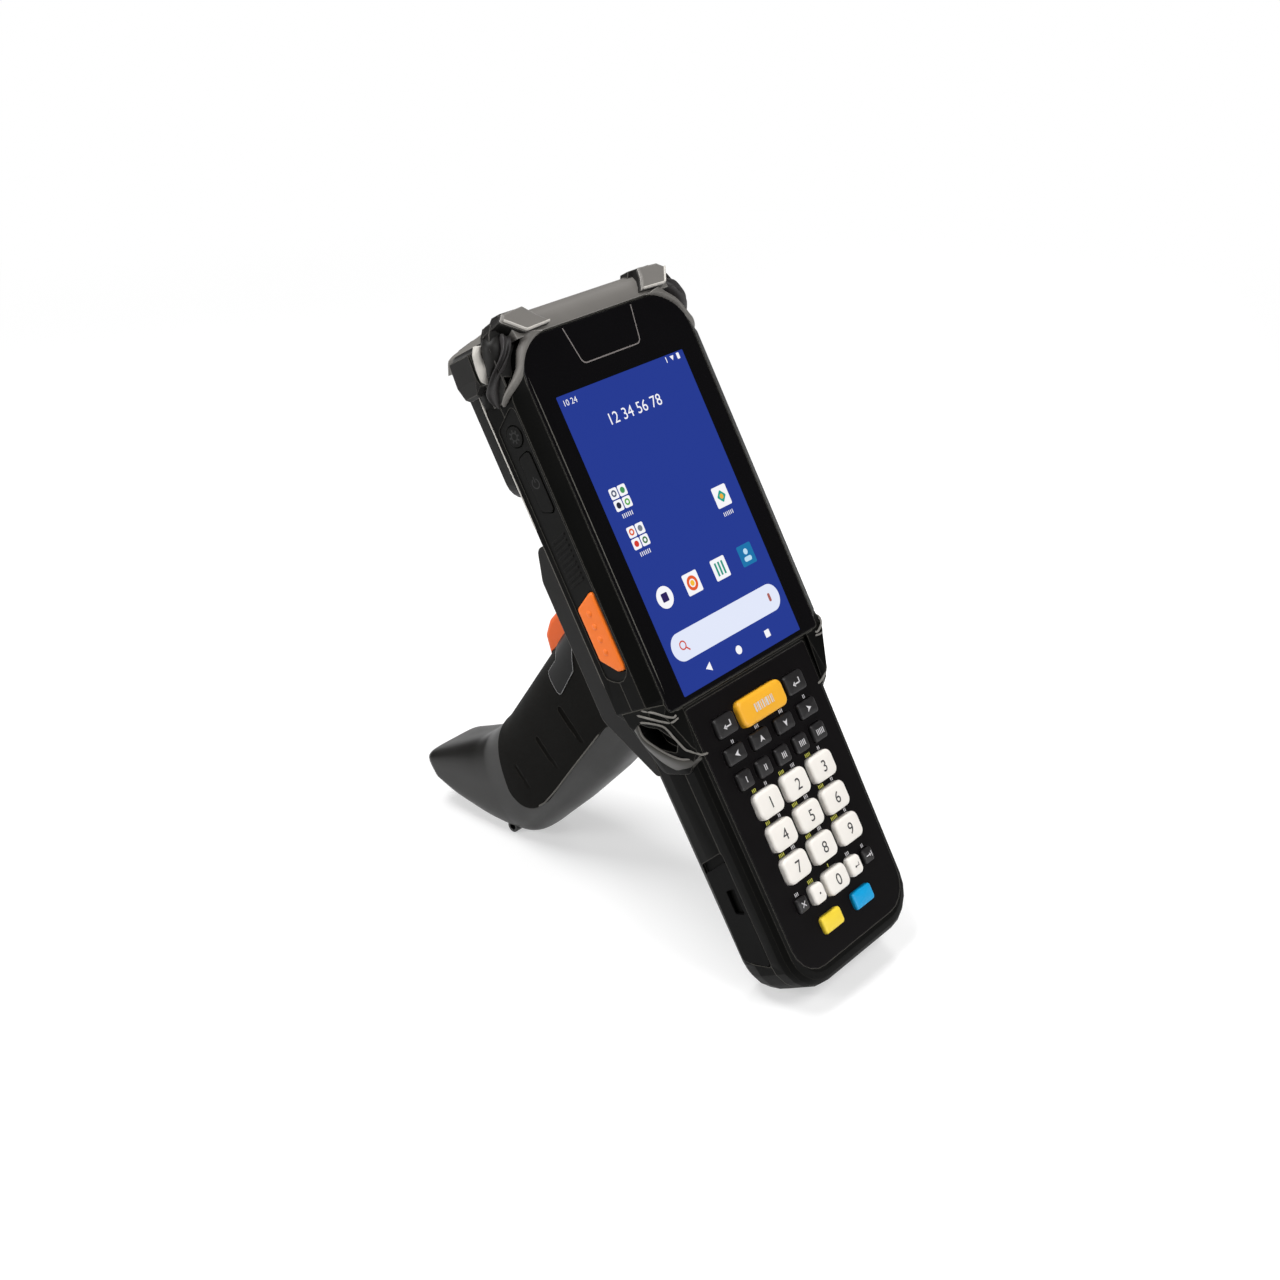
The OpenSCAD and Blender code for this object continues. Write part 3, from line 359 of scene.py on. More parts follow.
ORANGE = moulded("trigger_orange", tone(255, 122, 30), 0.40, grain=0.01, edge=0.4, variation=0.04, gloss=0.35,
                 edge_highlight_colour=tone(255, 168, 96), edge_highlight=0.35)
# The grip trigger's orange is a darker copy of the side triggers' orange: painted shade
SHADED_TRIGGER_ORANGE = moulded("grip_trigger_orange_painted_shade", tone(226, 94, 24), 0.42, grain=0.01, edge=0.4, variation=0.04,
                         gloss=0.3, edge_highlight_colour=tone(255, 150, 80), edge_highlight=0.3)
SILICONE = moulded("mat_silicone", tone(70, 72, 74), 0.6, grain=0.01)
BOARD = moulded("circuit_board", tone(20, 70, 40), 0.4, grain=0.01)
LCD = moulded("display_back", tone(30, 34, 60), 0.3)
STEEL = moulded("spring_steel", tone(176, 176, 178), 0.28, grain=0.004)
STEEL.node_tree.nodes["Principled BSDF"].inputs["Metallic"].default_value = 1.0
EYELET = moulded("eyelet_black", tone(16, 16, 16), 0.4, edge=0.3)
INK_DARK = printed("ink_dark", tone(62, 60, 62))
INK_PALE = printed("ink_pale", tone(214, 212, 214))
INK_YELLOW = printed("ink_yellow", tone(206, 206, 88))
INK_TRIM = printed("trim_line", tone(128, 122, 120), 0.3)
MARK = printed("embossed_mark", tone(9, 9, 9), 0.35)

# ---- CAD pieces that keep their shape --------------------------------------------------------

for node, finish, slot, edge in [
    ("front_frame", HOUSING, "housing", 0.35),
    ("rear_shell", HOUSING, "housing", 0.35),
    ("keypad_bezel", PLATE, "keypad_plate", 0.15),
    ("display_glass", GLASS, "cover_glass", 0.2),
    ("strap_pod_left", HOUSING, "housing", 0.5),
    ("strap_pod_right", HOUSING, "housing", 0.5),
    ("side_panel_left", PANEL, "housing", 0.1),
    ("side_panel_right", PANEL, "housing", 0.1),
    ("battery_pack", HOUSING, "housing", 0.3),
    ("battery_latch_left", DEEP, "housing", 0.15),
    ("battery_latch_right", DEEP, "housing", 0.15),
    ("grip_mount", MOUNT, "grip_satin", 0.5),
    ("power_button", PANEL, "housing", 0.15),
    ("function_button", PANEL, "housing", 0.15),
    ("scan_window", SCAN_GLASS, "scan_glass", 0.1),
    ("lanyard_eyelet", EYELET, "housing", 0.2),
]:
    dressed(node, finish, edge)

for node, finish in {"display_panel": LCD, "main_board": BOARD, "keypad_mat": SILICONE, "scan_engine": DEEP,
                     "trigger_pin": STEEL, "trigger_spring": STEEL}.items():
    frame["nodes"][node].data.materials.clear()
    frame["nodes"][node].data.materials.append(finish)

# ---- Keys ------------------------------------------------------------------------------------

FLANGE = 0.5          # how far the CAD key's foot stands out round its cap
CROWN = 0.22          # rise of a cap's dome
SKIRT = 0.6           # how far under its fillet a cap's side has a row of points
TALL_KEY = 2.0        # a key that stands higher than this over the plate is softer
SOFT, CRISP = (0.26, 1.0), (0.18, 0.7)     # corner radius as a share of the shorter side, and fillet
LEGEND_LIFT = 0.02
DIGIT_SIZE = 5.2
PLATE_TOP = device_box("keypad_bezel")[1][2]
COLOURED_KEYS = {"key_scan": (KEY_AMBER, "key_amber"), "key_yellow": (KEY_YELLOW, "key_yellow"),
                 "key_blue": (KEY_BLUE, "key_blue")}


def key_surface(w, h, corner, low, top, fillet, around=72):
    """A key cap: the outline goes straight up, turns in through a quarter circle of the fillet's radius, and
    closes to its middle as a dome whose height falls with the square of the distance from the middle."""
    turn = np.linspace(0, math.pi / 2, 7)
    shoulder = top - CROWN - fillet
    inset = np.concatenate([[0, 0], fillet * (1 - np.cos(turn))])
    level = np.concatenate([[low, shoulder - SKIRT], shoulder + fillet * np.sin(turn)])
    rings = []
    for d, z in zip(inset, level):
        side = round_box(w - 2 * d, h - 2 * d, max(corner - d * 0.5, 0.3))
        rings.append(at_level(evenly(side, around), z))
    edge = rings[-1][:, :2]
    for share in (0.85, 0.65, 0.4, 0.15):
        rings.append(at_level(edge * share, top - CROWN * share ** 2))
    rings[-1][:, 2] = top
    return np.array(rings)


def finish_of(key):
    """A key's finish and slot: the coloured keys, ivory for digits, point and return, dark for the rest."""
    if key in COLOURED_KEYS:
        return COLOURED_KEYS[key]
    if key[4:].isdigit() or key in ("key_point", "key_back"):
        return KEY_IVORY, "key_ivory"
    return KEY_DARK, "key_dark"


def flat_letters(words, size):
    """A text's filled outlines as plane points and faces, centred on the origin."""
    curve = bpy.data.curves.new("letters", "FONT")
    curve.body = words
    curve.size = size
    curve.align_x = "CENTER"
    curve.align_y = "CENTER"
    curve.resolution_u = 4
    holder = in_scene("letters", curve)
    bpy.context.view_layer.update()
    mesh = bpy.data.meshes.new_from_object(holder)
    points = np.array([v.co[:2] for v in mesh.vertices])
    faces = [list(p.vertices) for p in mesh.polygons]
    bpy.data.objects.remove(holder)
    bpy.data.curves.remove(curve)
    bpy.data.meshes.remove(mesh)
    points -= (points.min(0) + points.max(0)) / 2
    return points, faces


def strokes(*lines, width=0.5):
    """Straight strokes along runs of points, each a thin rectangle as long as the stroke plus its width."""
    points, faces = [], []
    for line in lines:
        for a, b in zip(np.array(line[:-1], float), np.array(line[1:], float)):
            along = (b - a) / np.linalg.norm(b - a) * width / 2
            side = np.array([-along[1], along[0]])
            faces.append([len(points) + k for k in range(4)])
            points += [a - along - side, b + along - side, b + along + side, a - along + side]
    return np.array(points), faces


def filled(points):
    """One plane face through the points."""
    return np.asarray(points, float), [list(range(len(points)))]


def disc(r, x=0.0, y=0.0, count=28):
    """A round plane face."""
    turn = np.linspace(0, 2 * math.pi, count, endpoint=False)
    return filled(np.stack([x + r * np.cos(turn), y + r * np.sin(turn)], -1))


def ring(inner, outer, start=0.0, end=360.0, count=40):
    """A plane ring, or an arc of it, between two radii."""
    turn = np.radians(np.linspace(start, end, count + 1))
    edge = np.stack([np.cos(turn), np.sin(turn)], -1)
    points = np.vstack([edge * inner, edge * outer])
    k = np.arange(count)
    return points, np.stack([k, k + count + 1, k + count + 2, k + 1], -1).tolist()


def together(*shapes):
    """Several plane shapes as one."""
    points, faces, n = [], [], 0
    for p, f in shapes:
        points.append(p)
        faces += [[i + n for i in face] for face in f]
        n += len(p)
    return np.vstack(points), faces


def moved(shape, x, y, scale=1.0):
    """A plane shape scaled about the origin and moved."""
    return shape[0] * scale + [x, y], shape[1]


def turned(shape, degrees):
    """A plane shape turned anticlockwise about the origin."""
    c, s = math.cos(math.radians(degrees)), math.sin(math.radians(degrees))
    return shape[0] @ np.array([[c, s], [-s, c]]), shape[1]


def bars(count, w, h, gap):
    """A row of short upright bars."""
    places = (np.arange(count) - (count - 1) / 2) * gap
    return together(*[strokes([[x, -h / 2], [x, h / 2]], width=w) for x in places])


BAR_PLACES = [-4.4, -3.3, -2.7, -1.5, -0.6, 0.5, 1.1, 2.4, 3.3, 4.1]
BAR_WIDTHS = [0.6, 0.25, 0.7, 0.35, 0.6, 0.25, 0.8, 0.3, 0.45, 0.3]
BAR_CODE = together(*[filled([[x, -1.3], [x + w, -1.3], [x + w, 1.3], [x, 1.3]])
                      for x, w in zip(BAR_PLACES, BAR_WIDTHS)])
ARROW_HEAD = filled([[1.1, 0], [-1.0, 1.05], [-0.45, 0], [-1.0, -1.05]])
BENT_ARROW = together(strokes([[1.5, 1.0], [1.5, -0.4], [-0.9, -0.4]], width=0.42),
                      filled([[-1.9, -0.4], [-0.7, 0.45], [-0.7, -1.25]]))
STOP_ARROW = together(strokes([[-1.2, 0], [0.4, 0]], [[1.3, -0.7], [1.3, 0.7]], width=0.3),
                      filled([[1.0, 0], [0.2, 0.6], [0.2, -0.6]]))
CROSS = strokes([[-0.7, -0.7], [0.7, 0.7]], [[-0.7, 0.7], [0.7, -0.7]], width=0.32)

PALE_LEGENDS = {"key_scan": BAR_CODE, "key_enter_left": BENT_ARROW, "key_enter_right": BENT_ARROW,
                "key_left": turned(ARROW_HEAD, 180), "key_right": ARROW_HEAD,
                "key_up": turned(ARROW_HEAD, 90), "key_down": turned(ARROW_HEAD, -90),
                "key_escape": CROSS, "key_tab": STOP_ARROW,
                **{f"key_f{i}": bars(i, 0.34, 1.5, 0.75) for i in range(1, 6)}}
DARK_LEGENDS = {"key_point": disc(0.34), "key_back": moved(BENT_ARROW, 0, 0, 0.6),
                **{f"key_{i}": flat_letters(str(i), DIGIT_SIZE) for i in range(10)}}
LEGENDS = {key: (shape, INK_PALE) for key, shape in PALE_LEGENDS.items()}
LEGENDS |= {key: (shape, INK_DARK) for key, shape in DARK_LEGENDS.items()}

key_heads = {}
for key in sorted(n for n in frame["nodes"] if n.startswith("key_")):
    low, high = device_box(key)
    w, h = (high - low)[:2] - 2 * FLANGE
    x, y = (high + low)[:2] / 2
    key_heads[key] = (x, y + h / 2)
    corner, fillet = SOFT if high[2] - PLATE_TOP > TALL_KEY else CRISP
    finish, slot = finish_of(key)
    rings = key_surface(w, h, min(w, h) * corner, low[2], high[2], fillet)
    cap = new_piece(key + "_cap", *skin(rings + [x, y, 0]), finish, key, slot, sharp=50)
    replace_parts(cap, key)
    if key in LEGENDS:
        (points, faces), ink = LEGENDS[key]
        mark = at_level(points + [x, y], high[2] + LEGEND_LIFT)
        new_piece(key + "_legend", mark, faces, ink, key, slot)

# Second legends on the plate above the keys: rows of short strokes, as [key, shift to the right, count]
PALE_MARKS = [("key_left", 1.5, 2), ("key_up", 1.2, 3), ("key_down", 1.2, 3), ("key_right", 1.2, 2),
              ("key_1", 2.8, 2), ("key_2", 2.8, 3), ("key_3", 2.8, 2), ("key_4", 2.8, 2), ("key_5", 2.8, 3),
              ("key_6", 2.8, 2), ("key_7", 2.8, 3), ("key_8", 2.8, 3), ("key_9", 2.8, 2), ("key_tab", 0, 2),
              ("key_back", 0, 3), ("key_escape", 0, 3)]
YELLOW_MARKS = [("key_1", -2.8, 3), ("key_2", -2.8, 4), ("key_3", -2.8, 4), ("key_4", -2.8, 3),
                ("key_5", -2.8, 4), ("key_6", -2.8, 4), ("key_7", -2.8, 4), ("key_8", -2.8, 4),
                ("key_9", -2.8, 5), ("key_0", 0, 1), ("key_point", 0, 4)]
PLATE_BAR = (0.3, 0.85, 0.66)     # a stroke's width and height, and the strokes' pitch
PLATE_GAP, PLATE_LIFT = 1.0, 0.03
for ink, name, marks in ((INK_PALE, "pale", PALE_MARKS), (INK_YELLOW, "yellow", YELLOW_MARKS)):
    rows = []
    for key, shift, count in marks:
        x, head = key_heads[key]
        rows.append(moved(bars(count, *PLATE_BAR), x + shift, head + PLATE_GAP))
    points, faces = together(*rows)
    new_piece(f"plate_legends_{name}", at_level(points, PLATE_TOP + PLATE_LIFT), faces, ink,
              "housing", "keypad_plate")

# ---- Screen picture --------------------------------------------------------------------------

SCREEN_W, SCREEN_H = 56.2, 93.6
PICTURE_LEVEL, LAYER = 0.03, 0.01     # the picture's height over the glass, and that of each layer on it
picture = printed("screen_light", tone(24, 42, 132), 0.1)
tree = picture.node_tree
tint = add(tree, "Attribute", attribute_name="tint")
shader = tree.nodes["Principled BSDF"]
for link in list(shader.inputs["Base Color"].links):
    tree.links.remove(link)
shader.inputs["Base Color"].default_value = (0, 0, 0, 1)
shader.inputs["Emission Strength"].default_value = 1.0
shader.inputs["Specular IOR Level"].default_value = 0.22
shader.inputs["Roughness"].default_value = 0.06
tree.links.new(tint.outputs["Color"], shader.inputs["Emission Color"])

sheets = []


def show(shape, x, y, colour, depth):
    """Puts a plane shape on the screen, x and y from its centre, in a layer above the ones before."""
    sheets.append((shape[0] + [x, y], shape[1], colour, PICTURE_LEVEL + LAYER * depth))


def rounded_tile(size, r=1.0):
    """A square with round corners."""
    return filled(round_box(size, size, r, 4))


BLUE, WHITE = tone(37, 58, 146), tone(246, 246, 250)
show(filled(round_box(SCREEN_W, SCREEN_H, 0.3, 2)), 0, 0, BLUE, 0)
show(flat_letters("10 24", 2.6), -23.4, 44.4, WHITE, 1)
show(filled([[-0.9, 0.7], [0.9, 0.7], [0, -0.8]]), 22.6, 45.4, WHITE, 1)
show(strokes([[-0.5, -0.7], [-0.5, 0.7]], width=0.35), 20.4, 45.4, WHITE, 1)
show(filled(round_box(1.2, 1.9, 0.2, 2)), 25.4, 45.4, WHITE, 1)
show(flat_letters("12 34 56 78", 5.0), -0.3, 35.4, WHITE, 1)
ICON = 6.6
FOLDERS = [(-20.2, 13.4, [(88, 96, 120), (70, 150, 90), (40, 44, 60), (96, 170, 84)]),
           (-19.7, 1.2, [(220, 96, 60), (120, 126, 140), (210, 60, 50), (70, 120, 80)])]
for x, y, minis in FOLDERS:
    for k, rgb in enumerate(minis):
        dx, dy = (k % 2 - 0.5) * 3.7, (0.5 - k // 2) * 3.7
        show(rounded_tile(3.3, 0.5), x + dx, y + dy, WHITE, 1)
        show(disc(0.95) if k % 3 else ring(0.5, 1.05), x + dx, y + dy, tone(*rgb), 2)
    show(bars(6, 0.3, 1.0, 0.8), x, y - 5.2, WHITE, 1)
show(rounded_tile(ICON, 0.5), 18.9, 1.1, WHITE, 1)
show(turned(rounded_tile(2.9, 0.4), 45), 18.9, 1.1, tone(36, 160, 140), 2)
show(disc(0.8), 18.9, 1.1, tone(236, 176, 60), 3)
show(bars(6, 0.3, 1.0, 0.8), 18.9, -4.4, WHITE, 1)
DOCK = -18.3
for x, tile, mark, rgb in [(-19.6, disc(3.4), rounded_tile(2.7, 0.3), (44, 34, 92)),
                           (-7.0, rounded_tile(ICON, 0.5), ring(1.3, 2.3), (226, 92, 48)),
                           (6.2, rounded_tile(ICON, 0.5), bars(3, 0.8, 3.4, 1.5), (48, 150, 130))]:
    show(tile, x, DOCK, WHITE, 1)
    show(mark, x, DOCK, tone(*rgb), 2)
show(disc(0.9), -7.0, DOCK, tone(244, 190, 60), 2)
show(rounded_tile(ICON, 0.5), 19.1, DOCK, tone(30, 116, 170), 1)
HEAD_AND_SHOULDERS = together(disc(0.95, 0, 1.0), filled(round_box(3.4, 1.5, 0.7, 4) + [0, -1.3]))
show(HEAD_AND_SHOULDERS, 19.1, DOCK, tone(190, 224, 244), 2)
PILL = -33.5
show(filled(round_box(51, 8.6, 4.25, 12)), 0, PILL, tone(226, 232, 250), 1)
LENS = together(ring(1.0, 1.45), strokes([[1.05, -1.05], [2.0, -2.0]], width=0.5))
show(LENS, -20.6, PILL + 0.3, tone(206, 84, 70), 2)
show(filled(round_box(1.1, 2.7, 0.5, 4)), 21.0, PILL + 0.2, tone(170, 96, 90), 2)
NAV = -42.7
show(filled([[-1.5, 0], [1.0, 1.4], [1.0, -1.4]]), -14.3, NAV, WHITE, 1)
show(disc(1.35), -0.1, NAV, WHITE, 1)
show(rounded_tile(2.3, 0.2), 14.0, NAV, WHITE, 1)

points, faces = together(*[(at_level(p, z), f) for p, f, c, z in sheets])
colours = np.vstack([np.tile(c, (len(p), 1)) for p, f, c, z in sheets])
screen = new_piece("screen_picture", points, faces, picture, "housing", "lcd")
attribute = screen.data.color_attributes.new("tint", "FLOAT_COLOR", "POINT")
attribute.data.foreach_set("color", colours.astype(np.float32).ravel())

# Thin trim line on the glass above the screen: a foot with two round corners and two legs, which lean
# outward on their way to the glass's head. It is worked out past the head and cut off there.
TRIM_HEAD, TRIM_FOOT, TRIM_PAST = 64.7, 52.9, 80.0
TRIM_HALF, TRIM_LEAN, TRIM_WIDTH, TRIM_POINTS = 18.2, 0.46, 0.4, 600
foot_half = TRIM_HALF - (TRIM_HEAD - TRIM_FOOT) * TRIM_LEAN
trim = evenly(outline([[TRIM_HALF, TRIM_PAST, 0], [foot_half, TRIM_FOOT, 2.2],
                       [-foot_half, TRIM_FOOT, 2.2], [-TRIM_HALF, TRIM_PAST, 0]]), TRIM_POINTS)
keep = np.where(trim[:, 1] < TRIM_HEAD)[0]
keep = np.roll(keep, -int(np.argmax(np.diff(keep, append=keep[0] + TRIM_POINTS) > 1) + 1))
inner = trim - TRIM_WIDTH * outward(trim)
k = np.arange(len(keep) - 1)
new_piece("trim_line", at_level(np.vstack([trim[keep], inner[keep]]), PICTURE_LEVEL),
          np.stack([k, k + 1, k + 1 + len(keep), k + len(keep)], -1), INK_TRIM, "housing", "cover_glass")

# ---- Side controls ---------------------------------------------------------------------------


def slab(profile, low, high, fillet, dome, around=120):
    """A solid whose closed profile in the device's y and z is carried along x from low to high; the high
    face turns in through a quarter circle and rises to its middle by the dome's height."""
    profile = evenly(profile, around)
    normal = outward(profile)
    turn = np.linspace(0, math.pi / 2, 6)
    inset = np.concatenate([[0], fillet * (1 - np.cos(turn))])
    level = np.concatenate([[low], high - dome - fillet + fillet * np.sin(turn)])
    rings = [at_x(x, profile - d * normal) for d, x in zip(inset, level)]
    edge = rings[-1][:, 1:]
    middle = edge.mean(0)
    for share in (0.75, 0.45, 0.15):
        rings.append(at_x(high - dome * share ** 2, middle + (edge - middle) * share))
    return np.array(rings)


def on_side(points, faces, side):
    """A solid that is made for the device's right, kept there for side 1 and mirrored to the left for -1."""
    return (points, faces) if side > 0 else (points * [-1, 1, 1], [f[::-1] for f in faces])


SIDES = ((-1, "left"), (1, "right"))
SIDE_TRIGGER = [[-7, -4.2, 1.2], [-32, -4.2, 1.2], [-32, -7.2, 1.2], [-27.4, -12.8, 1.2], [-11, -12.8, 1.2]]
DOT_FIRST_Y, DOT_PITCH, DOT_Z, DOT_RISE = -13.4, 4, -8.6, 0.3
DOT_SURFACE = ((1.0, -0.2), (0.98, 0.05), (0.8, 0.2), (0.45, 0.28), (0.1, DOT_RISE))    # radius, rise
turn = np.linspace(0, 2 * math.pi, 24, endpoint=False)
dot_round = np.stack([np.cos(turn), np.sin(turn)], -1)
for side, name in SIDES:
    node = f"side_trigger_{name}"
    low, high = device_box(node)
    inner_x, outer_x = sorted((abs(low[0]), abs(high[0])))
    face_x = outer_x - DOT_RISE
    rings = slab(outline(SIDE_TRIGGER), inner_x, face_x, 0.7, 0.05)
    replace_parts(new_piece(f"{node}_cap", *on_side(*skin(rings), side), ORANGE, node, "orange"), node)
    for i in range(4):
        centre = [DOT_FIRST_Y - DOT_PITCH * i, DOT_Z]
        rings = [at_x(face_x + rise, centre + r * dot_round) for r, rise in DOT_SURFACE]
        new_piece(f"{node}_dot_{i + 1}", *on_side(*skin(rings), side), ORANGE, node, "orange")

# Marks moulded on the two small buttons: an open ring with a bar, and a toothed ring
POWER_MARK = together(ring(1.25, 1.6, 118, 422), strokes([[0, 0.5], [0, 1.9]], width=0.35))
TOOTH = strokes([[1.5, 0], [1.8, 0]], width=0.5)
TOOTHED_RING = together(ring(0.95, 1.35), *[turned(TOOTH, angle) for angle in range(0, 360, 45)])
for node, (points, faces) in (("power_button", POWER_MARK), ("function_button", TOOTHED_RING)):
    low, high = device_box(node)
    mark = at_x(low[0] - 0.03, points[:, ::-1] + (low + high)[1:] / 2)
    new_piece(f"{node}_mark", mark, faces, MARK, node, "housing")

# ---- Grip ------------------------------------------------------------------------------------

GRIP_TOP, HEEL, TOE = 35.0, 119.0, 153.5     # depths behind the glass
GRIP_W = 34.0
TAN = math.tan(math.radians(25.7))           # lean of the grip's front line
FRONT_TOP, TOE_Y, TOE_TIP = -6.6, -46.2, -44.8
RUN = (TOE_Y - FRONT_TOP) / -TAN
# The grip's lines as [depth, value]: y of its front, y of its palm, half its width, and its squareness
FRONT = np.array([[GRIP_TOP - 3, FRONT_TOP + 3 * TAN], [GRIP_TOP + RUN * 0.86, FRONT_TOP - RUN * 0.86 * TAN],
                  [GRIP_TOP + RUN * 1.03, TOE_Y + 1.2], [GRIP_TOP + RUN * 1.12, TOE_Y],
                  [TOE - 1.6, TOE_TIP - 0.1], [TOE - 0.1, TOE_TIP - 1.9]])
PALM = np.array([[GRIP_TOP - 3, -58.2], [GRIP_TOP + 6, -59.4], [GRIP_TOP + 18, -63.6],
                 [GRIP_TOP + 37, -71.4], [GRIP_TOP + 60, -78.8], [HEEL - 9, -82.8], [HEEL - 2, -84.8],
                 [HEEL + 2, -84.6], [HEEL + 7, -81.4], [HEEL + 14, -76], [TOE - 8.5, -64.8],
                 [TOE - 3, -57.4], [TOE - 1, -54.6], [TOE - 0.1, -52.6]])
HALF = np.array([[GRIP_TOP - 3, GRIP_W / 2], [GRIP_TOP + 40, GRIP_W / 2 - 0.3], [HEEL - 12, GRIP_W / 2 - 0.8],
                 [HEEL + 2, GRIP_W / 2 - 1.6], [TOE - 16, GRIP_W / 2 - 2], [TOE - 3, GRIP_W / 2 - 2.2],
                 [TOE, GRIP_W / 2 - 4]])
SQUARE = np.array([[HEEL + 3, 2.7], [HEEL + 18, 4], [TOE, 5]])


def eased(depth, line, reach):
    """A line given by its corners, averaged over a short reach to both sides so that its corners are
    round."""
    offsets = np.linspace(-reach, reach, 9)
    weight = 1 - np.abs(offsets) / (reach * 1.1)
    values = np.interp(depth[:, None] + offsets, line[:, 0], line[:, 1])
    return values @ weight / weight.sum()


def grip_rings(shrink, levels=150, around=144):
    """The grip: at each depth a superellipse between the front line and the palm line, whose power grows
    towards the toe. The reach of the easing falls to almost nothing at the toe's tip, which keeps its
    place."""
    body, tip = np.linspace(GRIP_TOP - 3, TOE - 3, levels), np.linspace(TOE - 2.7, TOE - 0.1, 12)
    depth = np.concatenate([body, tip])
    values = []
    for line, sign in ((FRONT, -1), (PALM, 1), (HALF, -1)):
        near, wide = eased(depth, line, 0.3), eased(depth, line, 3.0)
        share = np.clip((TOE - 3 - depth) / 6, 0, 1)
        values.append(wide * share + near * (1 - share) + sign * shrink)
    front, palm, half = values
    turn = 2 * np.pi * (np.arange(around) + 0.5) / around
    power = 2 / np.interp(depth, SQUARE[:, 0], SQUARE[:, 1])[:, None]
    c = np.sign(np.cos(turn)) * np.abs(np.cos(turn)) ** power
    s = np.sign(np.sin(turn)) * np.abs(np.sin(turn)) ** power
    x = half[:, None] * c
    y = ((front + palm) / 2)[:, None] + ((front - palm) / 2)[:, None] * s
    z = -np.broadcast_to(depth[:, None], x.shape)
    return np.stack([x, y, z], -1)[::-1]


def bar_across(corners, low, high, steps=8):
    """A prism: a closed y-z profile carried along x between two values."""
    profile = outline(corners, steps)
    if double_area(profile) < 0:
        profile = profile[::-1]
    n = len(profile)
    points = np.vstack([at_x(low, profile), at_x(high, profile)])
    return points, [*grid_faces(2, n).tolist(), list(range(n))[::-1], list(range(n, 2 * n))]


def capsule(a, b, r, around=24):
    """A round bar with half-sphere ends between two points."""
    a, b = np.array(a, float), np.array(b, float)
    along = (b - a) / np.linalg.norm(b - a)
    side = np.array([1.0, 0, 0])
    other = np.cross(along, side)
    turn = 2 * np.pi * np.arange(around) / around
    circle = np.cos(turn)[:, None] * side + np.sin(turn)[:, None] * other
    tilt = np.linspace(-np.pi / 2 + 0.08, 0, 7)     # skin() closes the small hole that is left at each pole
    low = [a + along * r * math.sin(t) + circle * r * math.cos(t) for t in tilt]
    high = [b - along * r * math.sin(t) + circle * r * math.cos(t) for t in tilt[::-1]]
    return skin(np.array(low + high))


def cut(base, name, finish, body, keep=None, away=(), sharp=38):
    """A solid kept inside one cutter and outside others, made with exact booleans and then applied."""
    work = new_piece(name, *base, finish, None, None, sharp)
    tools = [("INTERSECT", keep)] * (keep is not None) + [("DIFFERENCE", tool) for tool in away]
    helpers = []
    for k, (operation, tool) in enumerate(tools):
        helper = new_piece(f"{name}_tool_{k}", *tool, finish, None, None)
        helpers.append(helper)
        modifier = work.modifiers.new(f"cut_{k}", "BOOLEAN")
        modifier.operation = operation
        modifier.object = helper
        modifier.solver = "EXACT"
    bpy.context.view_layer.update()
    mesh = bpy.data.meshes.new_from_object(work.evaluated_get(bpy.context.evaluated_depsgraph_get()))
    work.modifiers.clear()
    work.data = mesh
    for helper in helpers:
        bpy.data.objects.remove(helper)
    smooth(mesh, sharp)
    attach(work, body)
    return work


# Profiles as [y, z, corner radius]: the shells' region on the grip, and the trigger with its pin and swing
SHELL_REGION = [[20, -GRIP_TOP + 5, 0], [-48, -GRIP_TOP + 5, 0], [-52.5, -54, 4], [-64.5, -81, 20],
                [-72, -97, 14], [-74.5, -109, 7], [-66, -113.2, 7], [-44, -110, 3], [20, -92, 0]]
TRIGGER = [[-9, -38.6, 1.5], [-13.2, -50, 14], [-12.4, -61, 8], [-15, -68, 3], [-19, -72.6, 2.5],
           [-27, -74.4, 1.5], [-28.4, -66, 3], [-25.4, -50, 6], [-24.6, -38.6, 3]]
PIN = np.array([-19.0, -42.0])
SWING = math.radians(7)


def pulled(corner):
    """Where a point of the trigger's profile lies when it is pulled: turned about the pin."""
    dy, dz = np.array(corner[:2]) - PIN
    return PIN + [dy * math.cos(SWING) + dz * math.sin(SWING), -dy * math.sin(SWING) + dz * math.cos(SWING)]


WELL_ROOM, WELL_HALF = 3.2, 7.8
WELL_FOOT = TRIGGER[5][1] - 2.6
BLADE_FOOT_Y = pulled(TRIGGER[5])[0] - WELL_ROOM
WELL = bar_across([[20, -30, 0], [-27, -30, 0], [pulled(TRIGGER[6])[0] - WELL_ROOM, -60, 3],
                   [BLADE_FOOT_Y - 2, WELL_FOOT + 1, 3], [-24, WELL_FOOT, 2], [20, WELL_FOOT, 0]],
                  -WELL_HALF, WELL_HALF)
COLLAR_REGION = [[-12, -57, 0], [-24.6, -52.6, 1], [-31.8, -55, 1.5], [BLADE_FOOT_Y - 4.4, -66, 1.5],
                 [-30, -70, 1], [-27, -64, 1], [-12, -68, 0]]
COLLAR_CUT = bar_across(COLLAR_REGION, -34, 34)
GROOVES = [[-42.6 - 7.5 * i, -69 - 17.2 * i] for i in range(3)]
GROOVE_X, GROOVE_R = GRIP_W / 2 + 0.5, 1.5

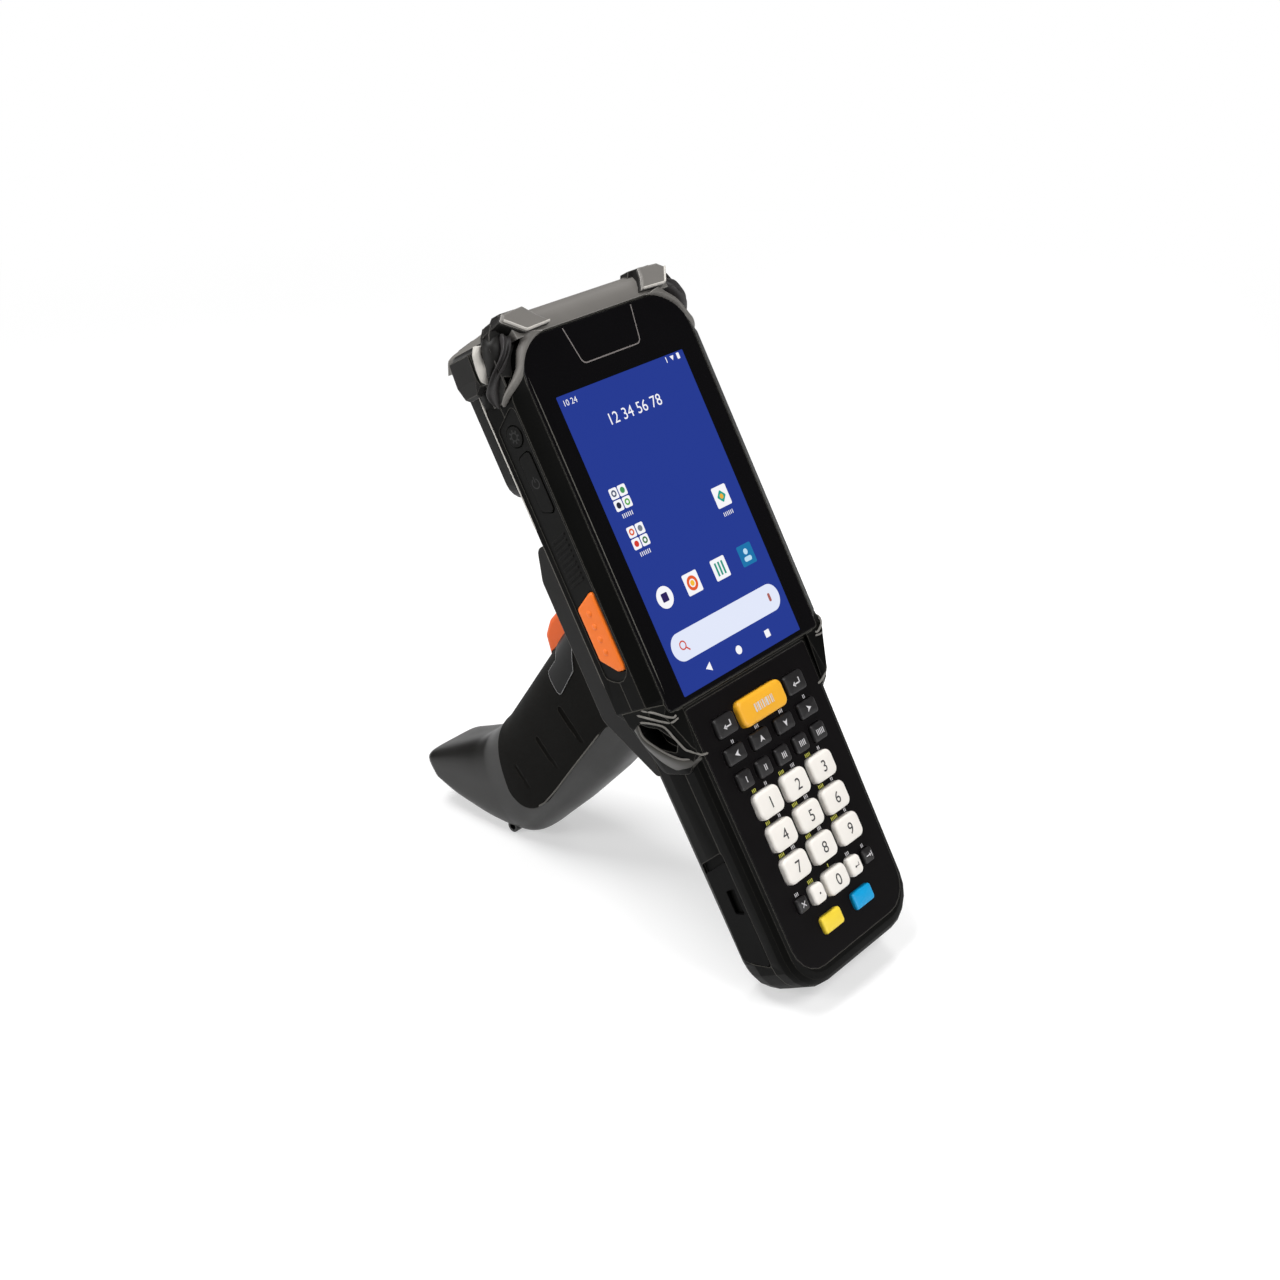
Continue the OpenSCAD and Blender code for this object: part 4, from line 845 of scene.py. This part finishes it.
for side, name in SIDES:
    low, high = sorted((side * 0.05, side * 40))
    grooves = [capsule([side * GROOVE_X, y, z], [side * GROOVE_X, y - 12.4, z + 3.4], GROOVE_R)
               for y, z in GROOVES]
    shell = cut(skin(grip_rings(0)), f"grip_shell_{name}_skin", GRIP_RUBBER, "housing",
                keep=bar_across(SHELL_REGION, low, high, 14), away=[WELL, COLLAR_CUT, *grooves])
    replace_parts(shell, f"grip_shell_{name}")
EYELET_HOLE = capsule([-30, -79.2, -126], [30, -79.2, -126], 2.3, 48)
strap = cut(skin(grip_rings(0.35)), "grip_back_strap_skin", GRIP_SATIN, "housing",
            away=[bar_across(SHELL_REGION, -40, 40, 14), EYELET_HOLE])
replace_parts(strap, "grip_back_strap")
collar = cut(skin(grip_rings(-0.3)), "trigger_bezel_skin", COLLAR, "housing",
             keep=COLLAR_CUT, away=[WELL])
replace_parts(collar, "trigger_bezel")


def blade(profile, half, fillet, around=160):
    """A trigger blade: a closed y-z profile carried along x, pulled in towards both sides by a quarter
    circle."""
    profile = evenly(outline(profile), around)
    normal = outward(profile)
    turn = np.linspace(-math.pi / 2, math.pi / 2, 15)
    inset = fillet * (1 - np.cos(turn))
    x = np.where(turn < 0, -half + fillet, half - fillet) + fillet * np.sin(turn)
    x[len(x) // 2] = 0
    return [at_x(v, profile - d * normal) for v, d in zip(x, inset)]


trigger = new_piece("trigger_blade", *skin(blade(TRIGGER, 7.5, 2.4)), SHADED_TRIGGER_ORANGE, "trigger", "orange")
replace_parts(trigger, "trigger")

# ---- Corner bumpers --------------------------------------------------------------------------

HALF_W, HEAD_END = 41.0, 74.6     # half the head's width, and y of its end
GROOVE_FLOOR = -3.4               # height of the base between the pads and bands that lie over it


def merged(node):
    """A CAD node's points in device millimetres and its faces, with doubles joined and flat faces in one."""
    work = merged_copy(node)
    work.verts.index_update()
    points = (np.array([v.co[:] for v in work.verts]) - ORIGIN) @ AXES.T / MM
    faces = [[v.index for v in f.verts] for f in work.faces]
    work.free()
    return points, faces


def facing_out(points, faces):
    """The same closed solid with its faces outward: they are turned round where its signed volume is
    negative."""
    corners = np.array([[f[0], f[k], f[k + 1]] for f in faces for k in range(1, len(f) - 1)])
    a, b, c = (points[corners[:, k]] for k in range(3))
    volume = np.einsum("ij,ij->i", a, np.cross(b, c)).sum()
    return points, faces if volume > 0 else [f[::-1] for f in faces]


def at_corner(rings, side):
    """A closed solid through rings given from the head's corner as [in, down, height], on one side."""
    rings = np.asarray(rings, float)
    placed = np.stack([side * (HALF_W - rings[..., 0]), HEAD_END - rings[..., 1], rings[..., 2]], -1)
    return facing_out(*skin(placed))


def through(stations, steps=6):
    """A smooth run of values through stations: a cubic between each two, whose slope at a station is that
    from the one before to the one after."""
    stations = np.asarray(stations, float)
    slope = np.gradient(stations, axis=0)
    t = np.linspace(0, 1, steps, endpoint=False)[:, None]
    rows = [(2 * t ** 3 - 3 * t ** 2 + 1) * a + (t ** 3 - 2 * t ** 2 + t) * at_a
            + (3 * t ** 2 - 2 * t ** 3) * b + (t ** 3 - t ** 2) * at_b
            for a, b, at_a, at_b in zip(stations[:-1], stations[1:], slope[:-1], slope[1:])]
    return np.vstack([*rows, stations[-1:]])


def band(stations, crest, side):
    """A moulded band along stations of [outer edge, inner edge, up, height, depth]: across it the surface
    rises from the line between its edges by the height times a crest of 0 to 1; below it is flat."""
    rows = through(stations)
    outer, inner = rows[:, None, 0:3], rows[:, None, 3:6]
    up = (rows[:, 6:9] / np.linalg.norm(rows[:, 6:9], axis=1)[:, None])[:, None]
    across = np.linspace(0, 1, 17)[None, :, None]
    top = outer + (inner - outer) * across + up * rows[:, None, 9:10] * crest(across)
    low = outer + (inner - outer) * across[:, ::-1] - up * rows[:, None, 10:11]
    return at_corner(np.concatenate([top, low], 1), side)


def slab_between(x, y, z):
    """A block between two values on each axis."""
    rings = [[[x[0], y[0], at], [x[1], y[0], at], [x[1], y[1], at], [x[0], y[1], at]] for at in z]
    return facing_out(*skin(rings))


# The pad as three outlines, its face, its waist and its foot, in the corner's own [in, down, height]
PAD_FACE = [[7.8, 0.9, -0.5], [15.7, 0.2, -0.8], [17.6, 3.6, 0.9], [20.6, 6.75, 2.4], [10.8, 7.1, 2.5],
            [6.2, 2.5, 0.35], [6.4, 2.2, 0.2]]
PAD_WAIST = [[7.2, 0.5, -1.3], [15.9, 0.1, -1.6], [18.2, 3.4, 0.2], [21.2, 7.3, 1.5], [10.9, 7.7, 1.6],
             [5.4, 3.1, -0.5], [5.2, 2.3, -0.9]]
PAD_FOOT = [[3.4, 2.0, -6], [15.9, 0.2, -6], [18.4, 3.6, -6], [21.2, 8.4, -6], [11.6, 7.9, -6],
            [4.6, 5.2, -6], [0.9, 4.8, -6]]
# The bands as stations of [outer edge, inner edge, up, height, depth]
ARM = [[10.4, 7.2, -0.5, 19.0, 8.7, -0.3, 0, 0, 1, 1.6, 0.5],
       [9.9, 9.0, -0.5, 15.6, 9.5, -0.3, 0, 0, 1, 1.6, 0.5],
       [8.2, 10.5, -0.6, 12.6, 10.8, -0.3, 0, 0, 1, 1.5, 0.5],
       [6.7, 12.0, -0.6, 10.0, 12.5, -0.3, 0, 0, 1, 1.5, 0.5],
       [5.5, 13.9, -0.6, 7.9, 14.5, -0.4, 0, 0, 1, 1.5, 0.5],
       [4.4, 16.0, -0.9, 6.4, 17.0, -0.5, -0.2, 0, 1, 1.4, 0.6],
       [2.8, 17.9, -1.8, 5.0, 19.3, -0.7, -0.5, 0, 0.9, 1.3, 0.9],
       [1.0, 19.6, -2.9, 2.7, 21.1, -1.8, -0.8, 0, 0.6, 1.2, 1.2],
       [-0.1, 21.2, -4.6, 0.5, 22.9, -3.7, -1, 0, 0.3, 1.1, 1.2],
       [-0.2, 22.9, -6.6, -0.1, 24.4, -6.0, -1, 0, 0, 0.9, 1],
       [-0.1, 24.0, -7.4, -0.1, 24.6, -7.2, -1, 0, 0, 0.3, 1]]
# A near-black band under the arm, in the inner plastic's finish: painted shade in the hollow there
ARM_SHADE = [[*row[:2], row[2] - 0.6, *row[3:5], row[5] - 0.6, *row[6:9], 0.3, 3] for row in ARM[:6]]
FIN = [[5.4, 5.4, -2.4, 8.2, 7.6, -2.2, -0.4, 0, 0.9, 1.0, 2],
       [3.8, 7.0, -1.5, 6.6, 9.3, -1.4, -0.4, 0, 0.9, 1.6, 2],
       [2.4, 9.9, -1.6, 4.6, 11.6, -1.5, -0.5, 0, 0.9, 1.7, 2],
       [0.7, 12.5, -3.0, 2.4, 13.9, -2.0, -0.7, 0, 0.7, 1.6, 2],
       [-0.5, 14.7, -5.4, 0.6, 16.5, -4.1, -0.9, 0, 0.4, 1.3, 1.5],
       [-0.7, 17.2, -8.6, 0.0, 18.8, -6.2, -1, 0, 0.1, 1.1, 1.2],
       [-0.7, 19.0, -11.0, 0.0, 21.2, -7.6, -1, 0, 0, 1.0, 1.2],
       [-0.5, 21.6, -11.0, 0.0, 23.4, -8.7, -1, 0, 0, 0.8, 1],
       [-0.1, 24.2, -9.9, 0.0, 24.6, -9.3, -1, 0, 0, 0.3, 1]]
LOBE = [[1.8, 4.8, -6.5, 4.6, 5.6, -3.0, -0.8, 0, 0.6, 0.8, 3],
        [0.4, 6.6, -6.6, 3.4, 7.6, -2.2, -0.85, 0, 0.5, 1.6, 3],
        [-0.2, 9.2, -7.0, 2.4, 10.0, -2.2, -0.9, 0, 0.4, 1.5, 3],
        [-0.2, 12.0, -7.6, 0.9, 12.6, -3.4, -0.95, 0, 0.3, 1.3, 2],
        [-0.2, 14.2, -8.2, -0.1, 14.8, -6.0, -1, 0, 0.1, 0.8, 2],
        [0.0, 15.4, -8.4, 0.0, 15.6, -7.6, -1, 0, 0, 0.2, 1]]
# A band in the near-white finish on the side of the head's corner: a painted highlight of the rear ridge
CRESCENT_HIGHLIGHT = [[-0.1, 5.6, -9.2, 0.2, 6.4, -6.8, -1, 0, 0, 0.6, 1],
            [-0.6, 7.6, -10.0, -0.4, 8.2, -7.4, -1, 0, 0, 1.1, 1],
            [-0.6, 10.6, -10.9, -0.4, 11.0, -7.8, -1, 0, 0, 1.2, 1],
            [-0.6, 13.2, -11.4, -0.4, 13.6, -7.6, -1, 0, 0, 1.2, 1],
            [-0.5, 15.4, -11.2, -0.4, 15.6, -8.8, -1, 0, 0, 1.0, 1],
            [0.0, 16.6, -10.4, 0.0, 16.8, -9.9, -1, 0, 0, 0.3, 1]]


def bead(corners, r):
    """Stations of a thin round bar along corners, with its edges to both sides in the plane of the pad's
    face."""
    corners = np.asarray(corners, float)
    ahead = np.gradient(corners, axis=0)
    aside = np.cross(ahead, [0, -0.47, 1.0])
    aside *= r / np.linalg.norm(aside, axis=1)[:, None]
    up = np.tile([0, -0.4, 0.9, r * 1.3, r], (len(corners), 1))
    return np.hstack([corners - aside, corners + aside, up])


# A thin bead along the pad face's upper edges in the near-white finish: a painted highlight on that edge
RIM_HIGHLIGHT = bead([[6.0, 2.5, 0.35], [7.6, 4.0, 1.1], [9.2, 5.6, 1.85], [10.5, 6.8, 2.4], [11.3, 7.1, 2.5],
            [14, 7.0, 2.45], [17.4, 6.9, 2.4], [20.4, 6.75, 2.35]], 0.32)


def arched(across):
    """A crest that is full in the middle and falls with the power 2.5 of the distance from it."""
    return 1 - np.abs(2 * across - 1) ** 2.5


def twin_ridges(across):
    """A low crest with two bell-shaped ridges, at 0.16 and 0.84 of the way across."""
    ridges = sum(np.exp(-((across - at) / 0.13) ** 2) for at in (0.16, 0.84))
    return np.clip(ridges + 0.12, 0, 1) * (1 - np.abs(2 * across - 1) ** 8)


def behind_corner(low, high, side):
    """A wedge off the head's corner, which keeps the corner's rear within a slanted plane."""
    plan = [[15.5, -1.4], [8, 4.7], [-0.6, 7.0], [-3, 7.0], [-3, -1.4]]
    return at_corner([[[*c, z] for c in plan] for z in (low, high)], side)


# The pad's face and the arm get the lit copy of the bumper rubber, a painted light; its sides keep the
# rubber's own colour
PADS = (("pad", [PAD_FACE, PAD_WAIST], LIT_BUMPER_PAD), ("pad_side", [PAD_WAIST, PAD_FOOT], BUMPER))
BANDS = (("arm", ARM, arched, LIT_BUMPER_PAD), ("arm_shade", ARM_SHADE, arched, DEEP),
         ("fin", FIN, twin_ridges, LIT_BUMPER_FIN), ("lobe", LOBE, arched, BUMPER),
         ("crescent_highlight", CRESCENT_HIGHLIGHT, arched, BUMPER_RIM_HIGHLIGHT), ("rim_highlight", RIM_HIGHLIGHT, arched, BUMPER_RIM_HIGHLIGHT))
REAR_CUT = (-50, -7.5)


for side, name in SIDES:
    above = slab_between((side * 5, side * 60), (30, 90), (GROOVE_FLOOR, 9))
    runs = slab_between((side * (HALF_W - 0.1), side * 60), (30, HEAD_END - 5.2), (-12.4, 9))
    base = cut(merged(f"bumper_{name}"), f"bumper_{name}_base", BUMPER, "housing",
               away=[above, runs, behind_corner(*REAR_CUT, side)], sharp=SHARP)
    rounded_edges(base, 0.6)
    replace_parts(base, f"bumper_{name}")
    for part, rings, finish in PADS:
        points, faces = at_corner(rings, side)
        pad = new_piece(f"bumper_{name}_{part}", points, faces, finish, "housing", "bumper_rubber", sharp=20)
        rounded_edges(pad, 0.3, 20)
    for part, stations, crest, finish in BANDS:
        points, faces = band(stations, crest, side)
        new_piece(f"bumper_{name}_{part}", points, faces, finish, "housing", "bumper_rubber", sharp=60)

cover = cut(merged("head_cover"), "head_cover_finished", COVER, "housing",
            away=[behind_corner(*REAR_CUT, -1), behind_corner(*REAR_CUT, 1)], sharp=SHARP)
rounded_edges(cover, 0.4)
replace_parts(cover, "head_cover")

# ---- Strap pods' rims, the wall's seams and the shells' seam: painted highlights -------------

# Raised lines on the left pod, in device millimetres, which carry a painted highlight: two ridges over its
# top, the pocket's lip and its foot, with the shoe's lower edge under it
POD_RIDGES = [[[-40.9, -44.7, -5.5], [-40, -46.6, -1.5], [-37.9, -48.8, 0], [-35.3, -50.2, 0],
               [-33.9, -49.9, 0]],
              [[-40.9, -45.7, -7.9], [-40.9, -47.6, -3.4], [-38.8, -49.8, -1.3], [-36.6, -51.2, -0.2],
               [-33.4, -51, 0]]]
POD_LIP = [[-40.9, -48, -7.9], [-40.9, -48.9, -4.2], [-38.9, -50.9, -2.2], [-37.7, -52.8, -1.8],
           [-36.4, -56, -1.8], [-34.6, -60.2, -1.6], [-33.4, -61.6, -1], [-31.4, -63.2, -0.8],
           [-29.8, -64.2, -1.1], [-27.2, -64.7, -1]]
POD_FOOT = [[-40.9, -48.6, -9.2], [-39.8, -52.8, -10.3], [-38, -56.8, -9.1], [-36.3, -60.5, -6.7],
            [-34.8, -62.9, -4.4], [-32.6, -63.9, -2.7], [-29.6, -64.6, -1.8]]
POD_SHOE = [[-40.8, -49.9, -11.6], [-38.9, -55, -12.5], [-36.9, -59.3, -12.4], [-34.9, -63, -11.8],
            [-33.1, -66.5, -9.4], [-32.4, -67.2, -5.4], [-30.2, -66, -2.6]]
# Painted highlights on seams of the display half's wall: along its rear edge, brighter at the head and duller
# below, and along the front edge of the left bevel
REAR_SEAM_HEAD = [[-40.8, 56, -15.9], [-40.8, 34, -15.9], [-40.8, 12, -15.9]]
REAR_SEAM_FOOT = [[-40.85, 12.4, -15.9], [-40.85, -12, -15.9], [-40.85, -38, -15.9]]
BEVEL_SEAM = [[-34.7, 55, 0], [-34.7, 6, 0], [-34.7, -43, 0]]
# Where the shells end on the left of the grip, as [z, y]
SHELL_EDGE = np.array([[-55, -52.9], [-66, -57.9], [-81, -64.6], [-90, -68.7], [-99, -72.3], [-105, -73.4]])


def piping(points, r, around=12):
    """A thin round bar along a smooth run through points: at each step a circle square to the run, which
    shrinks to a tenth at both ends."""
    run = through(points)
    along = np.gradient(run, axis=0)
    along /= np.linalg.norm(along, axis=1)[:, None]
    side = np.cross(along, [0.35, 0.1, 0.93])
    side /= np.linalg.norm(side, axis=1)[:, None]
    other = np.cross(along, side)
    turn = 2 * np.pi * np.arange(around) / around
    size = np.full(len(run), r)
    size[[0, -1]] *= 0.1
    circle = np.cos(turn)[None, :, None] * side[:, None] + np.sin(turn)[None, :, None] * other[:, None]
    return skin(run[:, None] + size[:, None, None] * circle)


def curved_plate(upper, lower, rise, sunk, across=16):
    """A plate between two smooth runs: it rises off the flat between them by the sine of the share across to
    the power 0.55, so that it is fullest near the upper run; its back is sunk by a fixed depth."""
    top, foot = through(upper), through(lower)
    share = np.linspace(0, 1, across)[None, :, None]
    flat = top[:, None] + (foot - top)[:, None] * share
    out = np.cross(np.gradient(flat, axis=1), np.gradient(flat, axis=0))
    out /= np.linalg.norm(out, axis=2)[..., None]
    out *= np.sign((out * [-1.0, -0.4, 0.2]).sum(2))[..., None]
    face = flat + out * (0.1 + rise * np.sin(np.pi * share ** 0.55))
    back = flat - out * sunk
    return skin(np.concatenate([face, back[:, ::-1]], 1))


def seam_line(z):
    """The shells' rear edge on the grip's left side: its y at each height, and the superellipse's x there."""
    y = np.interp(-z, -SHELL_EDGE[:, 0], SHELL_EDGE[:, 1])
    front, palm, half = (np.interp(-z, line[:, 0], line[:, 1]) for line in (FRONT, PALM, HALF))
    v = np.abs(y - (front + palm) / 2) / ((front - palm) / 2)
    power = SQUARE[0, 1]
    x = half * (1 - v ** power) ** (1 / power)
    return np.column_stack([-x, y, z])


LINES = [("pod_ridge_0", POD_RIDGES[0], 0.34, POD_RIM_HIGHLIGHT), ("pod_ridge_1", POD_RIDGES[1], 0.34, POD_RIM_HIGHLIGHT),
         ("pod_lip", POD_LIP, 0.34, POD_RIM_HIGHLIGHT), ("pod_foot", POD_FOOT, 0.34, POD_RIM_HIGHLIGHT),
         ("wall_seam_head", REAR_SEAM_HEAD, 0.34, BUMPER_RIM_HIGHLIGHT), ("wall_seam_foot", REAR_SEAM_FOOT, 0.24, SEAM_HIGHLIGHT)]
# These lines and the shells' seam are thin bars in light finishes: painted highlights
for side, name, lines in ((1, "left", [*LINES, ("bevel_seam", BEVEL_SEAM, 0.2, SEAM_HIGHLIGHT)]), (-1, "right", LINES)):
    mirror = np.array([side, 1, 1])
    forms = [(part, piping(run, r), finish) for part, run, r, finish in lines]
    forms += [("pod_shoe", curved_plate(POD_FOOT, POD_SHOE, 0.7, 0.5), POD_SHOE_SHEEN),
              ("shell_seam", piping(seam_line(np.linspace(-57, -103, 14)), 0.3), SEAM_HIGHLIGHT)]
    for part, (points, faces), finish in forms:
        new_piece(f"{part}_{name}", *facing_out(points * mirror, faces), finish, "housing", "grip_satin")

# ---- Screws ----------------------------------------------------------------------------------

SCREW_EDGE = ((0.0, 0.0), (0.0, 0.25), (0.1, 0.42), (0.3, 0.5))    # how far in from the head's radius, rise
SCREW_SOCKET = ((0.95, 0.5), (0.9, 0.05), (0.3, 0.05))             # mean radius, rise
SCREW_POINTS = 72


def screw(name, x, y, level, r=2.0, lobes=6, depth=0.16):
    """A screw head that faces back: a flat ring with a round edge, and a socket sunk in it whose radius
    waves by the depth's share with the cosine of the angle times the number of lobes."""
    turn = np.linspace(0, 2 * math.pi, SCREW_POINTS, endpoint=False)
    circle = np.stack([np.cos(turn), np.sin(turn)], -1)
    wave = 1 + depth * np.cos(lobes * turn)
    rings = [at_level([x, y] + (r - inset) * circle, level - rise) for inset, rise in SCREW_EDGE]
    rings += [at_level([x, y] + (q * wave)[:, None] * circle, level - rise) for q, rise in SCREW_SOCKET]
    points, faces = skin(rings)
    new_piece(name, points, [f[::-1] for f in faces], STEEL, "housing", "steel")


for i, (x, y) in enumerate([(-22, -13), (22, -13), (-22, -45), (22, -45)]):
    screw(f"mount_screw_{i + 1}", x, y, -34.6)
for i, (x, y) in enumerate([(-27, 15.5), (27, 15.5)]):
    screw(f"shell_screw_{i + 1}", x, y, -23.6, 1.7)

# ---- Floor, light and camera -----------------------------------------------------------------

FLOOR = 8.0     # half the floor's side, in metres
floor_mesh = bpy.data.meshes.new("floor")
floor_mesh.from_pydata([(-FLOOR, -FLOOR, 0), (FLOOR, -FLOOR, 0), (FLOOR, FLOOR, 0), (-FLOOR, FLOOR, 0)],
                       [], [(0, 1, 2, 3)])
floor = in_scene("floor", floor_mesh)


def white_where_seen(tree, strength):
    """The strength where the camera looks, also through glass or by reflection, and none for other light:
    the largest of the light path's camera, transmission and glossy rays, times the strength."""
    path = add(tree, "LightPath")
    seen = path.outputs["Is Camera Ray"]
    for ray in ("Is Transmission Ray", "Is Glossy Ray"):
        seen = add(tree, "Math", links={0: seen, 1: path.outputs[ray]}, operation="MAXIMUM").outputs[0]
    return add(tree, "Math", {1: strength}, {0: seen}, operation="MULTIPLY").outputs[0]


# The floor is lit paper round the object and turns to plain white away from it
PAPER_ENDS, WHITE_STARTS = 0.25, 0.9     # metres from the floor's middle
paper = bpy.data.materials.new("floor_paper")
paper.use_nodes = True
tree = paper.node_tree
shader = tree.nodes["Principled BSDF"]
shader.inputs["Base Color"].default_value = (0.6, 0.6, 0.6, 1)
shader.inputs["Roughness"].default_value = 0.22
shader.inputs["Specular IOR Level"].default_value = 0.5
shader.inputs["Emission Color"].default_value = (1, 1, 1, 1)
tree.links.new(white_where_seen(tree, 0.5), shader.inputs["Emission Strength"])
place = add(tree, "TexCoord")
away = add(tree, "VectorMath", links={0: place.outputs["Object"]}, operation="LENGTH")
share = add(tree, "MapRange", {"From Min": PAPER_ENDS, "From Max": WHITE_STARTS},
            {"Value": away.outputs["Value"]}, interpolation_type="SMOOTHSTEP")
plain = add(tree, "Emission", links={"Strength": white_where_seen(tree, 1.0)})
blend = add(tree, "MixShader", links={"Fac": share.outputs["Result"], 1: shader.outputs["BSDF"],
                                      2: plain.outputs["Emission"]})
tree.links.new(blend.outputs["Shader"], tree.nodes["Material Output"].inputs["Surface"])
floor_mesh.materials.append(paper)

# The sky is white to the camera and a dark studio to the object, whose white comes from the floor and the
# lamps
world = bpy.data.worlds.new("studio")
bpy.context.scene.world = world
world.use_nodes = True
tree = world.node_tree
sky = tree.nodes["Background"]
sky.inputs["Color"].default_value = (1, 1, 1, 1)
seen = add(tree, "LightPath")
level = add(tree, "MapRange", {"To Min": 0.10, "To Max": 1.0}, {"Value": seen.outputs["Is Camera Ray"]})
tree.links.new(level.outputs["Result"], sky.inputs["Strength"])


def softbox(name, place, aim, size, power):
    """A rectangular area lamp at a place in metres, turned to a point."""
    lamp = bpy.data.lights.new(name, "AREA")
    lamp.shape = "RECTANGLE"
    lamp.size, lamp.size_y = size
    lamp.energy = power
    holder = in_scene(name, lamp)
    holder.location = place
    holder.rotation_euler = (Vector(aim) - Vector(place)).to_track_quat("-Z", "Y").to_euler()


CENTRE = (0, 0, 0.12)
softbox("key_light", (0.1, -0.9, 1.25), CENTRE, (0.8, 0.6), 10)
softbox("head_light", (-0.25, 0.45, 1.35), CENTRE, (0.8, 0.4), 14)
softbox("rim_highlight_light", (1.0, 0.45, 0.55), CENTRE, (0.4, 0.8), 2)
softbox("side_light", (-1.1, 0.5, 0.6), CENTRE, (0.5, 0.6), 8)
softbox("fill_light", (0.2, -1.2, 0.22), CENTRE, (0.6, 0.3), 4)

# The camera's right, down and forward directions and its place, in the device's frame; the focal length is
# 1800 pixels of a frame of 1280
VIEW_ROWS = np.array([[0.6537, -0.3942, 0.6460], [-0.3550, -0.9136, -0.1982], [0.6683, -0.0997, -0.7372]])
VIEW_PLACE = [-379.1, 25.5, 379.3]
SENSOR = 36
right, down, ahead = VIEW_ROWS @ AXES
camera = in_scene("camera", bpy.data.cameras.new("camera"))
camera.data.lens = SENSOR * 1800 / 1280
camera.data.sensor_width = SENSOR
camera.data.clip_start = 0.01
turned_by = Matrix(np.column_stack([right, -down, -ahead]).tolist())
camera.rotation_mode = "QUATERNION"
camera.rotation_quaternion = turned_by.to_quaternion().normalized()
camera.location = to_row(VIEW_PLACE)
bpy.context.scene.camera = camera
bpy.context.scene.view_settings.view_transform = "Standard"
